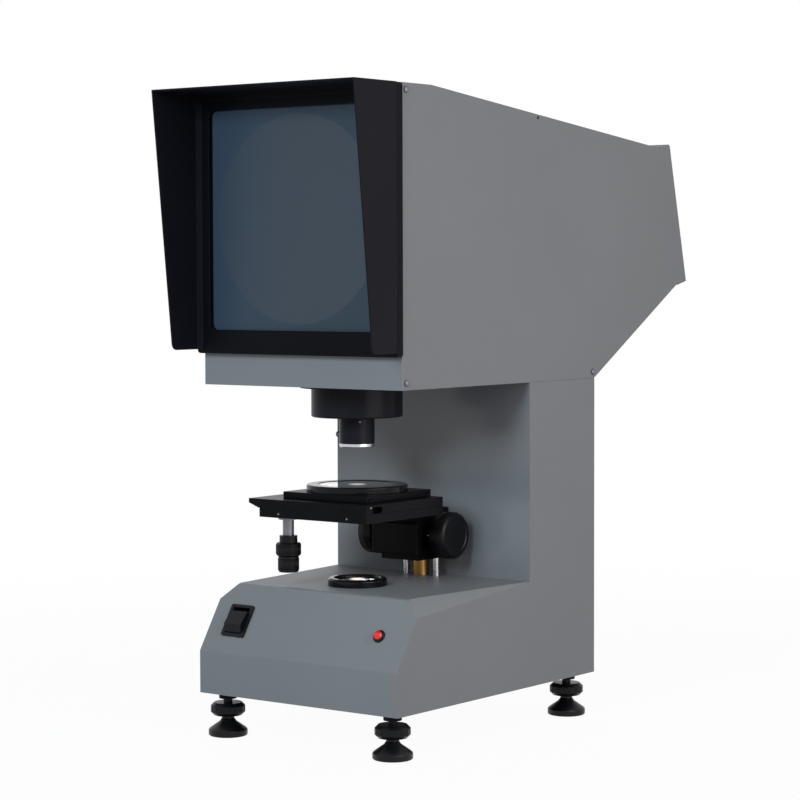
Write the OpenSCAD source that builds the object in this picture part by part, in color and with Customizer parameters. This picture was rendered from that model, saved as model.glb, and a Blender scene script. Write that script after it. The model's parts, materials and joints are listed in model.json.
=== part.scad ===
// Bench optical comparator: a square-screen profile projector on four levelling feet.
// Lengths are millimetres and angles are degrees. X runs to the right, Y to the back and Z up.
// Inside the modules Y is measured from the front face of the base; placed() then centres the part.

/* [Lower body] */
// Width of the base and of the column
body_w = 222; // [205:1:240]
// Length of the base, from its front face to the rear of the column
base_l = 305; // [295:1:325]
// Height of the upright front face
nose_h = 38; // [34:1:44]
// Height of the base from its underside to its deck
base_h = 96; // [90:1:104]
// Slope of the control panel above level
panel_a = 57.4; // [54:0.2:64]
// Depth of the column from front to back
column_d = 107; // [98:1:108]
// Height of the column above the deck
column_h = 180; // [176:1:195]
// Wall of the cast body
cast_wall = 5; // [4:0.5:6]
// Width of the tapered cuts along the deck, at the panel
deck_cut_w = 15.5; // [10:0.5:18]
// Height of the tapered cuts along the deck, at the panel
deck_cut_h = 14.5; // [10:0.5:18]
// Radius of the bend between the panel and the deck
panel_bend_r = 4; // [2:0.5:8]
// Radius of the bend between the nose and the panel
nose_bend_r = 4; // [2:0.5:8]
// Thickness of the sheet that closes the base below and the column behind
cover_plate_t = 2; // [1.5:0.5:3]
// Lap of the rear cover over its opening
rear_lap = 8; // [6:1:12]
// Distance of the rear opening from the sides of the column
rear_margin = 24; // [20:1:34]
// Height of the opening behind the column
rear_opening_h = 220; // [190:1:230]

/* [Feet] */
// Distance of the feet from the sides of the base
foot_inset_x = 18; // [16:1:24]
// Distance of the front feet from the front face
foot_inset_front = 17; // [16:1:24]
// Distance of the rear feet from the rear face
foot_inset_rear = 20; // [17:1:26]
// Diameter of the foot pads
pad_d = 35; // [30:1:40]
// Height of a pad with its neck
pad_h = 18.5; // [16:0.5:22]
// Diameter of the handwheels
wheel_d = 31; // [26:1:36]
// Thickness of the handwheels
wheel_t = 11.5; // [9:0.5:14]
// Free thread between a handwheel and its boss
wheel_gap = 3.5; // [3.2:0.1:6]
// Diameter of the bosses under the bottom plate
foot_boss_d = 16; // [13:0.5:18]
// Height of the bosses under the bottom plate
foot_boss_h = 5.5; // [4:0.5:8]
// Diameter of the foot studs
stud_d = 8; // [6:0.5:10]
// Length of stud inside the base
stud_in = 19; // [16:1:22]

/* [Head] */
// Step of the head's side panels inside the sides of the base
head_step = 0.5; // [0:0.25:2]
// Height of the head
head_h = 258; // [252:1:270]
// Distance of the front of the head behind the front of the base
head_set = 9; // [8:0.5:14]
// Length of the level part of the roof
brow_l = 42; // [30:1:60]
// Distance of the rearmost edge from the front of the base
rear_reach = 472; // [455:1:490]
// Height of the rearmost edge above the underside of the head
rear_edge_h = 90; // [84:1:96]
// Forward lean of the mirror cover
rear_lean = 13.5; // [11:0.5:16]
// Height of the mirror cover along its leaning face
rear_face_l = 137; // [130:1:142]
// Depth of the mirror cover
mirror_cover_d = 16; // [14:0.5:20]
// Sheet of the mirror cover
mirror_cover_t = 1.5; // [1:0.25:2]
// Sheet of the side panels
side_t = 2; // [1.5:0.5:3]
// Sheet of the floor and the roof
sheet_t = 2; // [1.5:0.5:3]
// Width of the folded flanges that carry the side panels
flange_w = 12; // [11:1:16]
// Distance of the panel screws from the edges
screw_in = 6; // [5:0.5:7]

/* [Screen] */
// Reach of the screen frame and the hood beyond each side of the base
frame_proud = 1; // [0.5:0.25:4]
// Height of the screen frame
frame_h = 230; // [225:1:240]
// Thickness of the screen frame
frame_t = 8.5; // [7:0.5:10]
// Width of the frame beside the window
frame_side = 15; // [12:0.5:20]
// Height of the frame below the window
frame_low = 21; // [18:0.5:26]
// Height of the frame above the window
frame_top = 16; // [14:0.5:20]
// Corner radius of the window
window_r = 6; // [3:1:10]
// Thickness of the screen glass
screen_t = 3; // [2:0.5:4]
// Lap of the glass behind the frame
screen_lap = 5; // [4:0.5:6]
// Reach of the hood in front of the base, at its top
hood_reach = 57; // [45:1:70]
// Reach of the hood in front of the base, at its lower edge
hood_low_reach = 33; // [20:1:42]
// Height of the frame that shows below the hood's cheeks
hood_short = 3.5; // [2:0.5:30]
// Sheet of the hood
hood_t = 1.5; // [1:0.25:2]
// Width of the hood's rear flange
hood_flange = 8; // [6:1:10]

/* [Optics] */
// Distance of the optical axis from the front of the base
axis_y = 87.5; // [84:0.5:90]
// Diameter of the lens flange
lens_flange_d = 102; // [98:1:110]
// Thickness of the lens flange
lens_flange_t = 3; // [2:0.5:5]
// Diameter of the lens drum
drum_d = 81.6; // [76:0.2:86]
// Height of the lens drum
drum_h = 26; // [24:1:32]
// Diameter of the objective barrel
barrel_d = 31.5; // [29:0.5:36]
// Length of the objective barrel with its ring
barrel_l = 27; // [23:1:30]
// Height of the ring at the objective's mouth
barrel_ring_h = 3.3; // [2.5:0.1:5]
// Diameter of the objective lens
objective_d = 22; // [20:0.5:23]
// Diameter of the projection lens cell
cell_d = 54; // [48:1:56]
// Height of the projection lens cell above its seat
cell_h = 28; // [24:1:30]
// Diameter of the condenser ring on the deck
condenser_d = 53.4; // [50:0.2:58]
// Height of the condenser ring
condenser_h = 7; // [6:0.5:10]
// Diameter of the condenser lens
condenser_lens_d = 40; // [36:1:42]
// Height of the lamp's beam above the bottom plate
beam_up = 44; // [42:1:46]
// Height of the turning mirror's centre above the floor of the head
turn_up = 45; // [44:1:50]
// Length of the turning mirror
turn_mirror_l = 62; // [50:1:64]
// Width of the turning mirror
turn_mirror_w = 80; // [74:1:100]
// Length of the rear mirror
rear_mirror_l = 118; // [100:1:122]
// Width of the rear mirror
rear_mirror_w = 160; // [140:1:190]
// Distance of the rear mirror's face from the back of its cover
rear_mirror_off = 14; // [12.5:0.5:15]
// Length of the mirror under the condenser
base_mirror_l = 60; // [50:1:64]
// Width of the mirror under the condenser
base_mirror_w = 46; // [40:1:60]
// Thickness of the mirror plates
mirror_t = 4; // [3:0.5:4]

/* [Stage] */
// Height of the stage's lower plate above the deck
stage_up = 63; // [62:0.5:64]
// Width of the lower plate
plate_w = 120.6; // [120:0.2:124]
// Length of the lower plate from front to back
plate_l = 111; // [110:0.5:112]
// Distance of the plates' front edge ahead of the optical axis
plate_front = 64; // [63:0.5:65]
// Thickness of the lower plate
lower_t = 8; // [8:0.5:9]
// Thickness of the middle plate
middle_t = 8; // [8:0.5:9]
// Thickness of the top plate
top_t = 6; // [6:0.5:8]
// Side of the square top plate
top_s = 94; // [93:0.5:98]
// Length of the middle plate's left arm beyond the lower plate
arm_l = 12.4; // [12:0.1:24]
// Thickness of the round disc
disc_t = 6; // [5:0.5:8]
// Diameter of the round disc
disc_d = 91; // [86:1:92]
// Diameter of the stage glass
stage_glass_d = 70; // [68:0.5:72]
// Thickness of the stage glass
stage_glass_t = 2.6; // [2:0.2:3]
// Diameter of the light aperture in the sliding plates
aperture_d = 58; // [50:1:58]
// Travel of the stage to each side and to the front and back
slide_travel = 10; // [6:0.5:10]
// Height of the dovetail guides
rail_h = 3; // [2.6:0.1:3]
// Width of the dovetail guides at their top
rail_w = 5.6; // [5:0.1:5.6]

/* [Stage drive] */
// Distance of the drive's axis to the left of the optical axis
drive_left = 46; // [46:0.1:46.4]
// Distance of the drive's axis ahead of the optical axis
drive_front = 41.1; // [41:0.1:41.3]
// Tooth module of the stage racks
stage_module = 0.75; // [0.7:0.05:0.75]
// Teeth on each stage pinion
stage_teeth = 16; // [16:1:16]
// Diameter of the boss under the lower plate
drive_boss_d = 18; // [17.6:0.1:18]
// Diameter of the steel sleeve
sleeve_d = 10; // [9:0.5:12]
// Length of the steel sleeve below the boss
sleeve_l = 14.3; // [11:0.1:14.4]
// Diameter of the upper drive shaft
upper_shaft_d = 7; // [6.4:0.1:7.4]
// Diameter of the lower drive shaft
lower_shaft_d = 4; // [3:0.1:4.4]
// Diameter of the upper knob
upper_knob_d = 22; // [18:0.5:26]
// Height of the upper knob
upper_knob_h = 11.8; // [10:0.2:13]
// Diameter of the upper knob's hub
upper_hub_d = 16; // [12:0.5:17]
// Height of the upper knob's hub
upper_hub_h = 6.3; // [5:0.1:7]
// Diameter of the lower knob
lower_knob_d = 18.4; // [14:0.1:20]
// Height of the lower knob
lower_knob_h = 14.4; // [12:0.2:14.6]

/* [Lift] */
// Travel of the stage up and down
lift_travel = 12; // [8:0.5:12]
// Width of the carriage block
block_w = 42; // [42:0.5:46]
// Depth of the carriage block
block_d = 46; // [45:0.5:46.5]
// Height of the carriage block
block_h = 46; // [44:0.5:47]
// Distance of the block's front face behind the optical axis
block_back = 62.5; // [62:0.5:63]
// Distance of the posts behind the optical axis
post_back = 95.2; // [92:0.2:95.6]
// Distance of the guide rods from the middle
rod_x = 17; // [16.5:0.1:17.4]
// Diameter of the guide rods
rod_d = 6; // [5:0.2:6.2]
// Height of the posts above the deck
post_h = 66; // [64:1:74]
// Diameter of the rack post
rack_post_d = 14.5; // [14:0.1:15]
// Tooth module of the lift rack
lift_module = 1; // [0.95:0.05:1]
// Teeth on the lift pinion
lift_teeth = 16; // [16:1:16]
// Height of the pinion shaft above the deck
pinion_up = 40; // [39:0.5:41]
// Face width of the lift pinion
pinion_w = 10; // [8:0.5:11]
// Diameter of the pinion shaft
pinion_shaft_d = 8; // [7:0.5:9]
// Diameter of the focus knobs
focus_d = 42; // [38:1:44]
// Width of the focus knobs
focus_w = 17; // [14:0.5:20]
// Diameter of the focus knobs' hubs
focus_hub_d = 24; // [20:1:28]
// Length of the focus knobs' hubs
focus_hub_l = 11.6; // [8:0.1:13]
// Thickness of the bracket under the stage
bracket_t = 8; // [7:0.5:8]
// Width of the bracket under the stage
bracket_w = 52; // [46:1:54]

/* [Controls] */
// Distance of the controls up the sloping panel
controls_up = 31.7; // [28:0.1:36]
// Distance of the switch from the left side of the base
switch_in = 31; // [26:1:36]
// Width of the switch frame
switch_w = 26; // [25:0.5:28]
// Length of the switch frame up the panel
switch_l = 31; // [30:0.5:34]
// Swing of the rocker to each side
rocker_swing = 10; // [6:1:12]
// Distance of the indicator from the right side of the base
lamp_in = 32; // [26:1:40]
// Diameter of the indicator's bezel
indicator_d = 11.6; // [10:0.2:14]

/* [Fits] */
// Radial clearance of pins and shafts that turn or slide
run_fit = 0.06; // [0.04:0.01:0.1]
// Clearance of loose seats
seat_fit = 0.15; // [0.1:0.05:0.2]
// Clearance between faces that pass each other
pass_gap = 0.3; // [0.2:0.05:0.4]
// Backlash of the racks
backlash = 0.2; // [0.16:0.02:0.24]

/* [Hidden] */
$fn = 64;

// Colours
paint = [0.47, 0.47, 0.49];
dark_paint = [0.13, 0.13, 0.15];
black = [0.06, 0.06, 0.07];
steel = [0.75, 0.75, 0.77];
brass = [0.78, 0.6, 0.28];
clear = [0.75, 0.85, 0.9];
silvered = [0.85, 0.87, 0.9];
copper = [0.7, 0.42, 0.24];

// A small overshoot, so that cuts pass right through
eps = 1;

// Levels
base_z = pad_h + wheel_t + wheel_gap + foot_boss_h;
nose_z = base_z + nose_h;
deck_z = base_z + base_h;
head_z = deck_z + column_h;
crown_z = head_z + head_h;
plate_top_z = base_z + cover_plate_t;
beam_z = plate_top_z + beam_up;

// Widths that follow the base
head_w = body_w - 2 * head_step;
frame_w = body_w + 2 * frame_proud;
window_w = frame_w - 2 * frame_side;
rear_opening_w = body_w - 2 * rear_margin;
switch_x = switch_in - body_w / 2;
lamp_x = body_w / 2 - lamp_in;

// Distances from the front face of the base
mid_y = (rear_reach - hood_reach) / 2;
column_y = base_l - column_d;
foot_x = body_w / 2 - foot_inset_x;
foot_front_y = foot_inset_front;
foot_rear_y = base_l - foot_inset_rear;
panel_y = controls_up * cos(panel_a);
panel_z = nose_z + controls_up * sin(panel_a);

// Stage levels
lower_z = deck_z + stage_up;
middle_z = lower_z + lower_t;
top_z = middle_z + middle_t;
disc_z = top_z + top_t;
disc_top_z = disc_z + disc_t;
plate_y = axis_y - plate_front;
drive_x = -drive_left;
drive_y = axis_y - drive_front;

// Screen frame and window
frame_z = crown_z - frame_h;
frame_y = head_set - frame_t;
window_h = frame_h - frame_top - frame_low;
window_top_z = crown_z - frame_top;
window_z = window_top_z - window_h;
screen_mid_z = window_z + window_h / 2;
lip = 1;

// Helpers for outlines
function unit(v) = v / norm(v);
function left_of(d) = [-d.y, d.x];
function reverse(list) = [for (i = [len(list) - 1:-1:0]) list[i]];

// Moves every edge of a counter-clockwise outline inwards by t
function inset(pts, t) = [for (i = [0:len(pts) - 1])
    let (n = len(pts),
         a = left_of(unit(pts[i] - pts[(i + n - 1) % n])),
         b = left_of(unit(pts[(i + 1) % n] - pts[i])))
    pts[i] + t * (a + b) / (1 + a * b)];

function fillet_ends(a, p, b, r) =
    let (u = unit(a - p), v = unit(b - p), d = r / tan(acos(u * v) / 2)) [p + u * d, p + v * d];
function fillet_centre(a, p, b, r) =
    let (u = unit(a - p), v = unit(b - p)) p + unit(u + v) * r / sin(acos(u * v) / 2);

// An outline whose convex corners have the given radii
module round_profile(pts, radii) {
    n = len(pts);
    polygon([for (i = [0:n - 1]) each radii[i] > 0
        ? fillet_ends(pts[(i + n - 1) % n], pts[i], pts[(i + 1) % n], radii[i])
        : [pts[i]]]);
    for (i = [0:n - 1])
        if (radii[i] > 0)
            translate(fillet_centre(pts[(i + n - 1) % n], pts[i], pts[(i + 1) % n], radii[i]))
                circle(radii[i]);
}

module round_rect(w, h, r)
    round_profile([[-w / 2, -h / 2], [w / 2, -h / 2], [w / 2, h / 2], [-w / 2, h / 2]], [r, r, r, r]);

// Puts the finished part over the centre of its footprint
module placed() { translate([0, -mid_y, 0]) children(); }

// Sweeps a side view (Y, Z) across the part, centred on x
module across(w, x = 0) {
    translate([x, 0, 0]) rotate([90, 0, 90]) linear_extrude(w, center = true) children();
}

// Sweeps a front view (X, Z) from y0 back to y1
module along(y0, y1) { translate([0, y1, 0]) rotate([90, 0, 0]) linear_extrude(y1 - y0) children(); }

// Sweeps a plan (X, Y) from z0 up to z1
module up(z0, z1) { translate([0, 0, z0]) linear_extrude(z1 - z0) children(); }

// A box between two opposite corners
module box(low, high) { translate(low) cube(high - low); }

// Stands on the optical axis, or at another place of the plan
module on_axis(x = 0, y = axis_y) { translate([x, y, 0]) children(); }

// Stands on the sloping panel: Z leaves the panel and Y runs up it
module on_panel(x) { translate([x, panel_y, panel_z]) rotate([panel_a, 0, 0]) children(); }

// A turned piece about a vertical axis from an outline of radius and height
module turned(pts) { rotate_extrude() polygon(pts); }

// A ring
module ring(r_out, r_in, z0, z1) {
    difference() {
        translate([0, 0, z0]) cylinder(r = r_out, h = z1 - z0);
        translate([0, 0, z0 - eps]) cylinder(r = r_in, h = z1 - z0 + 2 * eps);
    }
}

// A pan-head screw with its seat at the origin and its head along Z
screw_r = 1.5;
screw_head_r = 3;
screw_head_h = 1.8;
screw_rim_h = 1.1;
screw_crown_r = 2.1;
module screw(grip) {
    rotate_extrude() polygon([[0, -grip], [screw_r, -grip], [screw_r, 0], [screw_head_r, 0],
        [screw_head_r, screw_rim_h], [screw_crown_r, screw_head_h], [0, screw_head_h]]);
}
module screw_hole(depth) { translate([0, 0, -depth]) cylinder(r = screw_r + seat_fit, h = depth + eps); }

// Involute pinion with a tooth along the first axis
press_a = 20;
flank_steps = 4;
tooth_tip = 1;
tooth_root = 1.25;
function roll(r, rb) = sqrt(pow(r / rb, 2) - 1);
function involute_a(r, rb) = roll(r, rb) * 180 / PI - atan(roll(r, rb));
function flank(m, teeth) =
    let (rp = m * teeth / 2, rb = rp * cos(press_a), ra = rp + tooth_tip * m, rf = rp - tooth_root * m,
         half = 90 / teeth - backlash / 2 / rp * 180 / PI / 2 + involute_a(rp, rb))
    concat([[rf, half - involute_a(rb, rb)]],
        [for (i = [0:flank_steps])
            let (r = rb + (ra - rb) * i / flank_steps) [r, half - involute_a(r, rb)]]);
module pinion_2d(m, teeth) {
    side = flank(m, teeth);
    polygon([for (t = [0:teeth - 1]) each concat(
        [for (p = side) p[0] * [cos(t * 360 / teeth - p[1]), sin(t * 360 / teeth - p[1])]],
        [for (p = reverse(side)) p[0] * [cos(t * 360 / teeth + p[1]), sin(t * 360 / teeth + p[1])]])]);
}

// Teeth of a rack as [along, outwards], with a gap at the middle and n teeth on each side of it
rack_tip = 0.9;
function rack_teeth(m, n) = [for (i = [-n:n - 1])
    let (c = (i + 0.5) * PI * m,
         w = PI * m / 4 - backlash / 4,
         root_w = w + tooth_root * m * tan(press_a),
         tip_w = w - rack_tip * m * tan(press_a))
    each [[c - root_w, -tooth_root * m], [c - tip_w, rack_tip * m],
          [c + tip_w, rack_tip * m], [c + root_w, -tooth_root * m]]];
function rack_half(m, n) = n * PI * m;

// Lower body

function base_points() = [[0, base_z], [base_l, base_z], [base_l, deck_z],
    [(base_h - nose_h) / tan(panel_a), deck_z], [0, nose_z]];
rear_opening_z = head_z - cast_wall - rear_lap - rear_opening_h;
post_s = 26;
post_over = 8;
post_top_z = base_z + stud_in + post_over;
foot_places = [for (x = [-foot_x, foot_x]) for (y = [foot_front_y, foot_rear_y]) [x, y]];
rod_places = [for (x = [-rod_x, rod_x]) [x, axis_y + post_back]];
inlet_w = 48;
inlet_h = 30;
inlet_lip = 2;
inlet_z = rear_opening_z + inlet_h;
condenser_wall = 3;
cell_bore_r = condenser_lens_d / 2 + condenser_wall;
switch_side_lip = 2;
switch_end_lip = 1.5;
switch_body_w = switch_w - 2 * switch_side_lip;
switch_body_l = switch_l - 2 * switch_end_lip;
indicator_shank_r = indicator_d / 3;
rear_screws = [for (x = [-1, 1]) for (z = [0, 1])
    [x * (rear_opening_w + rear_lap) / 2, rear_opening_z - rear_lap / 2 + z * (rear_opening_h + rear_lap)]];
wire_hole_r = 16;

// The corner that tapers from the panel back to the column, as a cutter on the right side
module deck_cut() {
    edge_y = (base_h - nose_h) / tan(panel_a);
    rear = [body_w / 2, column_y, deck_z];
    low = [body_w / 2, edge_y - deck_cut_h / tan(panel_a), deck_z - deck_cut_h];
    high = [body_w / 2 - deck_cut_w, edge_y, deck_z];
    u = unit(low - rear);
    n = unit(cross(high - rear, low - rear));
    v = cross(n, u);
    intersection() {
        multmatrix([[u.x, v.x, n.x, rear.x], [u.y, v.y, n.y, rear.y], [u.z, v.z, n.z, rear.z]])
            translate([-body_w, -body_w, 0]) cube([3 * body_w, 2 * body_w, body_w]);
        box([0, -eps, nose_z], [body_w, column_y, deck_z + eps]);
    }
}

// The deck and panel of the base
module base_block() {
    difference() {
        across(body_w) round_profile(base_points(), [0, 0, 0, panel_bend_r, nose_bend_r]);
        deck_cut();
        mirror([1, 0, 0]) deck_cut();
    }
}

// The hollow of the base: full width low down, narrower beside the tapered cuts
module base_hollow() {
    hollow = inset(base_points(), cast_wall);
    low_z = base_z - eps;
    shoulder_z = deck_z - deck_cut_h - cast_wall;
    outline = concat([[cast_wall, low_z], [base_l - cast_wall, low_z]], [for (i = [2:4]) hollow[i]]);
    across(body_w - 2 * (deck_cut_w + cast_wall)) polygon(outline);
    intersection() {
        across(body_w - 2 * cast_wall) polygon(outline);
        box([-body_w, -eps, low_z - eps], [body_w, base_l + eps, shoulder_z]);
    }
}

module rear_screw_holes(y, depth)
    for (p = rear_screws)
        translate([p[0], y, p[1]]) rotate([-90, 0, 0]) screw_hole(depth);

module deck_bore(r) translate([0, 0, deck_z - cast_wall - eps]) cylinder(r = r, h = cast_wall + 2 * eps);

// The casting without the posts in its corners
module base_shell() {
    difference() {
        union() {
            base_block();
            box([-body_w / 2, column_y, base_z], [body_w / 2, base_l, head_z]);
        }
        base_hollow();
        box([-body_w / 2 + cast_wall, column_y + cast_wall, base_z - eps],
            [body_w / 2 - cast_wall, base_l - cast_wall, head_z - cast_wall]);
        box([-rear_opening_w / 2, base_l - cast_wall - eps, rear_opening_z],
            [rear_opening_w / 2, base_l + eps, rear_opening_z + rear_opening_h]);
        on_axis() deck_bore(cell_bore_r + seat_fit);
        for (p = rod_places) on_axis(p[0], p[1]) deck_bore(rod_d / 2 + seat_fit);
        on_panel(switch_x) translate([0, 0, -2 * cast_wall]) linear_extrude(3 * cast_wall)
            square([switch_body_w + 2 * seat_fit, switch_body_l + 2 * seat_fit], center = true);
        on_panel(lamp_x) translate([0, 0, -2 * cast_wall])
            cylinder(r = indicator_shank_r + seat_fit, h = 3 * cast_wall);
        on_axis(0, base_l - column_d / 2) translate([0, 0, head_z - cast_wall - eps])
            cylinder(r = wire_hole_r, h = cast_wall + 2 * eps);
    }
}

module base_body() color(paint) difference() {
    union() {
        base_shell();
        for (p = foot_places) foot_post(p);
    }
    rear_screw_holes(base_l, cast_wall + eps);
}

// A square post in a corner of the base, bored for the foot's stud
module foot_post(p) {
    side = p[0] > 0 ? 1 : -1;
    back = p[1] > base_l / 2;
    wall_x = side * (body_w - cast_wall) / 2;
    inner_x = p[0] - side * post_s / 2;
    wall_y = back ? base_l - cast_wall / 2 : cast_wall / 2;
    inner_y = back ? p[1] - post_s / 2 : p[1] + post_s / 2;
    difference() {
        box([min(wall_x, inner_x), min(wall_y, inner_y), plate_top_z],
            [max(wall_x, inner_x), max(wall_y, inner_y), post_top_z]);
        translate([p[0], p[1], base_z]) cylinder(r = stud_d / 2 + run_fit, h = stud_in + wheel_gap + eps);
    }
}

vent_w = 4;
vent_l = 46;
vent_step = 12;
vent_pairs = 3;
vent_rows = 9;
// What a slot keeps flat between its two round ends
slot_flat = 0.02;
module bottom_plate() color(dark_paint) {
    edge = cast_wall + seat_fit;
    boss_z = base_z - foot_boss_h;
    difference() {
        union() {
            box([-body_w / 2 + edge, edge, base_z], [body_w / 2 - edge, base_l - edge, plate_top_z]);
            for (p = foot_places)
                translate([p[0], p[1], boss_z])
                    cylinder(d = foot_boss_d, h = foot_boss_h + cover_plate_t / 2);
        }
        for (p = foot_places)
            translate([p[0], p[1], boss_z - eps])
                cylinder(r = stud_d / 2 + run_fit, h = plate_top_z - boss_z + 2 * eps);
        for (i = [-vent_pairs:vent_pairs])
            translate([i * vent_step, base_l - column_d / 2, base_z - eps])
                linear_extrude(cover_plate_t + 2 * eps) square([vent_w, vent_l], center = true);
    }
}

module rear_cover() color(paint) {
    out_y = base_l + cover_plate_t;
    opening_top_z = rear_opening_z + rear_opening_h;
    vent_x = (vent_l + vent_step) / 2;
    difference() {
        box([-rear_opening_w / 2 - rear_lap, base_l, rear_opening_z - rear_lap],
            [rear_opening_w / 2 + rear_lap, out_y, opening_top_z + rear_lap]);
        for (i = [0:vent_rows - 1])
            for (s = [-1, 1])
                translate([s * vent_x, 0, opening_top_z - vent_step * (i + 2)])
                    along(base_l - eps, out_y + eps) round_rect(vent_l, vent_w, (vent_w - slot_flat) / 2);
        rear_screw_holes(out_y, cover_plate_t + eps);
        translate([0, 0, inlet_z]) along(base_l - eps, out_y + eps)
            square([inlet_w - 2 * inlet_lip + 2 * seat_fit, inlet_h - 2 * inlet_lip + 2 * seat_fit],
                center = true);
    }
}

// Appliance inlet: a flange outside, a body through the cover and three flat blades
inlet_flange_t = 2;
inlet_r = 3;
inlet_depth = 24;
recess_depth = 15;
recess_side = 10;
recess_end = 6;
blade_w = 2;
blade_h = 4;
blade_step = 7;
blade_high = 2.5;
blade_low = -1.5;
blade_in = 3;
module power_inlet() color(black) {
    out_y = base_l + cover_plate_t;
    translate([0, 0, inlet_z]) {
        difference() {
            union() {
                along(out_y, out_y + inlet_flange_t) round_rect(inlet_w, inlet_h, inlet_r);
                along(base_l - inlet_depth, out_y)
                    square([inlet_w - 2 * inlet_lip, inlet_h - 2 * inlet_lip], center = true);
            }
            along(out_y - recess_depth, out_y + inlet_flange_t + eps)
                round_rect(inlet_w - 2 * recess_side, inlet_h - 2 * recess_end, inlet_r);
        }
        for (i = [-1:1])
            translate([i * blade_step, 0, i == 0 ? blade_high : blade_low])
                along(out_y - recess_depth - eps, out_y - blade_in) square([blade_w, blade_h], center = true);
    }
}

// Controls on the sloping panel

rocker_end = 2;
rocker_side = 1.5;
rocker_half = switch_body_l / 2 - rocker_end;
rocker_w = switch_body_w - 2 * rocker_side;
rocker_flat = 7;
rocker_top = 5.6;
rocker_low = -2.4;
rocker_edge = 0.4;
rocker_pin_r = 1.2;
rocker_pin_l = 0.8;
switch_rim_t = 2;
switch_r = 2;
switch_depth = 24;
tab_w = 6.3;
tab_t = 0.8;
tab_l = 8;
module switch_housing() color(black) on_panel(switch_x) {
    pocket = rocker_half / 2;
    difference() {
        union() {
            linear_extrude(switch_rim_t) round_rect(switch_w, switch_l, switch_r);
            translate([0, 0, -switch_depth]) linear_extrude(switch_depth)
                square([switch_body_w, switch_body_l], center = true);
        }
        translate([0, 0, -pocket]) linear_extrude(pocket + switch_rim_t + eps)
            square([rocker_w + 2 * pass_gap, 2 * rocker_half + 4 * pass_gap], center = true);
        rotate([0, 90, 0]) cylinder(r = rocker_pin_r + run_fit,
            h = rocker_w + 2 * (pass_gap + rocker_pin_l), center = true);
    }
    for (i = [-1:1])
        translate([0, i * switch_body_l / 4, -switch_depth - tab_l])
            linear_extrude(tab_l) square([tab_w, tab_t], center = true);
}

module switch_rocker() color(black) on_panel(switch_x) rotate([-rocker_swing, 0, 0]) {
    across(rocker_w) polygon([[-rocker_half, rocker_low], [rocker_half, rocker_low],
        [rocker_half, rocker_edge], [rocker_flat, rocker_top], [-rocker_flat, rocker_top],
        [-rocker_half, rocker_edge]]);
    rotate([0, 90, 0]) cylinder(r = rocker_pin_r, h = rocker_w + 2 * rocker_pin_l, center = true);
}

indicator_wall = 1.8;
indicator_lens_r = indicator_d / 2 - indicator_wall;
indicator_lens_edge = 1.8;
indicator_dome = 2.6;
shank_l = 16;
bezel_h = 2.2;
bezel_bevel = 0.9;
bezel_seat = 1;
module indicator_bezel() color(black) on_panel(lamp_x)
    turned([[0, -shank_l], [indicator_shank_r, -shank_l], [indicator_shank_r, 0], [indicator_d / 2, 0],
        [indicator_d / 2, bezel_h - bezel_bevel], [indicator_d / 2 - bezel_bevel, bezel_h],
        [indicator_lens_r + seat_fit, bezel_h], [indicator_lens_r + seat_fit, bezel_seat],
        [0, bezel_seat]]);

module indicator_lens() color("red") on_panel(lamp_x) translate([0, 0, bezel_seat])
    lens(indicator_lens_r, indicator_lens_edge, indicator_dome);

// Light path in the base

condenser_ledge = 2.5;
condenser_tail = 2;
condenser_bevel = 1.5;
condenser_mouth = 1.2;
condenser_crown = 2;
condenser_sink = 1;
module condenser_ring() color(black) on_axis() translate([0, 0, deck_z]) {
    low_z = -cast_wall - condenser_tail;
    lens_r = condenser_lens_d / 2;
    out_r = condenser_d / 2;
    turned([[lens_r - condenser_ledge, low_z], [cell_bore_r, low_z], [cell_bore_r, 0], [out_r, 0],
        [out_r, condenser_h - condenser_bevel], [out_r - condenser_bevel, condenser_h],
        [lens_r + condenser_mouth, condenser_h], [lens_r + seat_fit, condenser_h - condenser_mouth],
        [lens_r + seat_fit, 0], [lens_r - condenser_ledge, 0]]);
}

// A flat-backed lens of the given radius, edge and crown height, standing on the origin
module lens(r, edge, crown) {
    ball_r = (r * r + crown * crown) / 2 / crown;
    cylinder(r = r, h = edge);
    intersection() {
        translate([0, 0, edge + crown - ball_r]) sphere(ball_r, $fn = 240);
        translate([0, 0, edge]) cylinder(r = r, h = crown);
    }
}

module condenser_lens() color(clear) on_axis() translate([0, 0, deck_z])
    lens(condenser_lens_d / 2, condenser_h - condenser_crown - condenser_sink, condenser_crown);

// A mirror plate seen from the side: centre of its face, direction it faces, length
function mirror_end(c, n, s) = c + s * [n.y, -n.x];
module mirror_2d(c, n, l) polygon([mirror_end(c, n, l / 2), mirror_end(c, n, -l / 2),
    mirror_end(c, n, -l / 2) - mirror_t * n, mirror_end(c, n, l / 2) - mirror_t * n]);

base_mirror_c = [axis_y, beam_z];
base_mirror_n = unit([1, 1]);
rib_t = 3;
rib_end = 2;
module base_mirror() color(silvered) across(base_mirror_w)
    mirror_2d(base_mirror_c, base_mirror_n, base_mirror_l);

module base_mirror_bracket() color(dark_paint) {
    reach = base_mirror_l / 2 - rib_end;
    low = mirror_end(base_mirror_c, base_mirror_n, reach) - mirror_t * base_mirror_n;
    high = mirror_end(base_mirror_c, base_mirror_n, -reach) - mirror_t * base_mirror_n;
    rib_x = base_mirror_w / 2 - rib_t;
    for (s = [-1, 1])
        across(rib_t, s * rib_x) polygon([[high.x, plate_top_z], [low.x, plate_top_z], low, high]);
    box([-rib_x, high.x, plate_top_z], [rib_x, low.x, plate_top_z + rib_t]);
}

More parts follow.
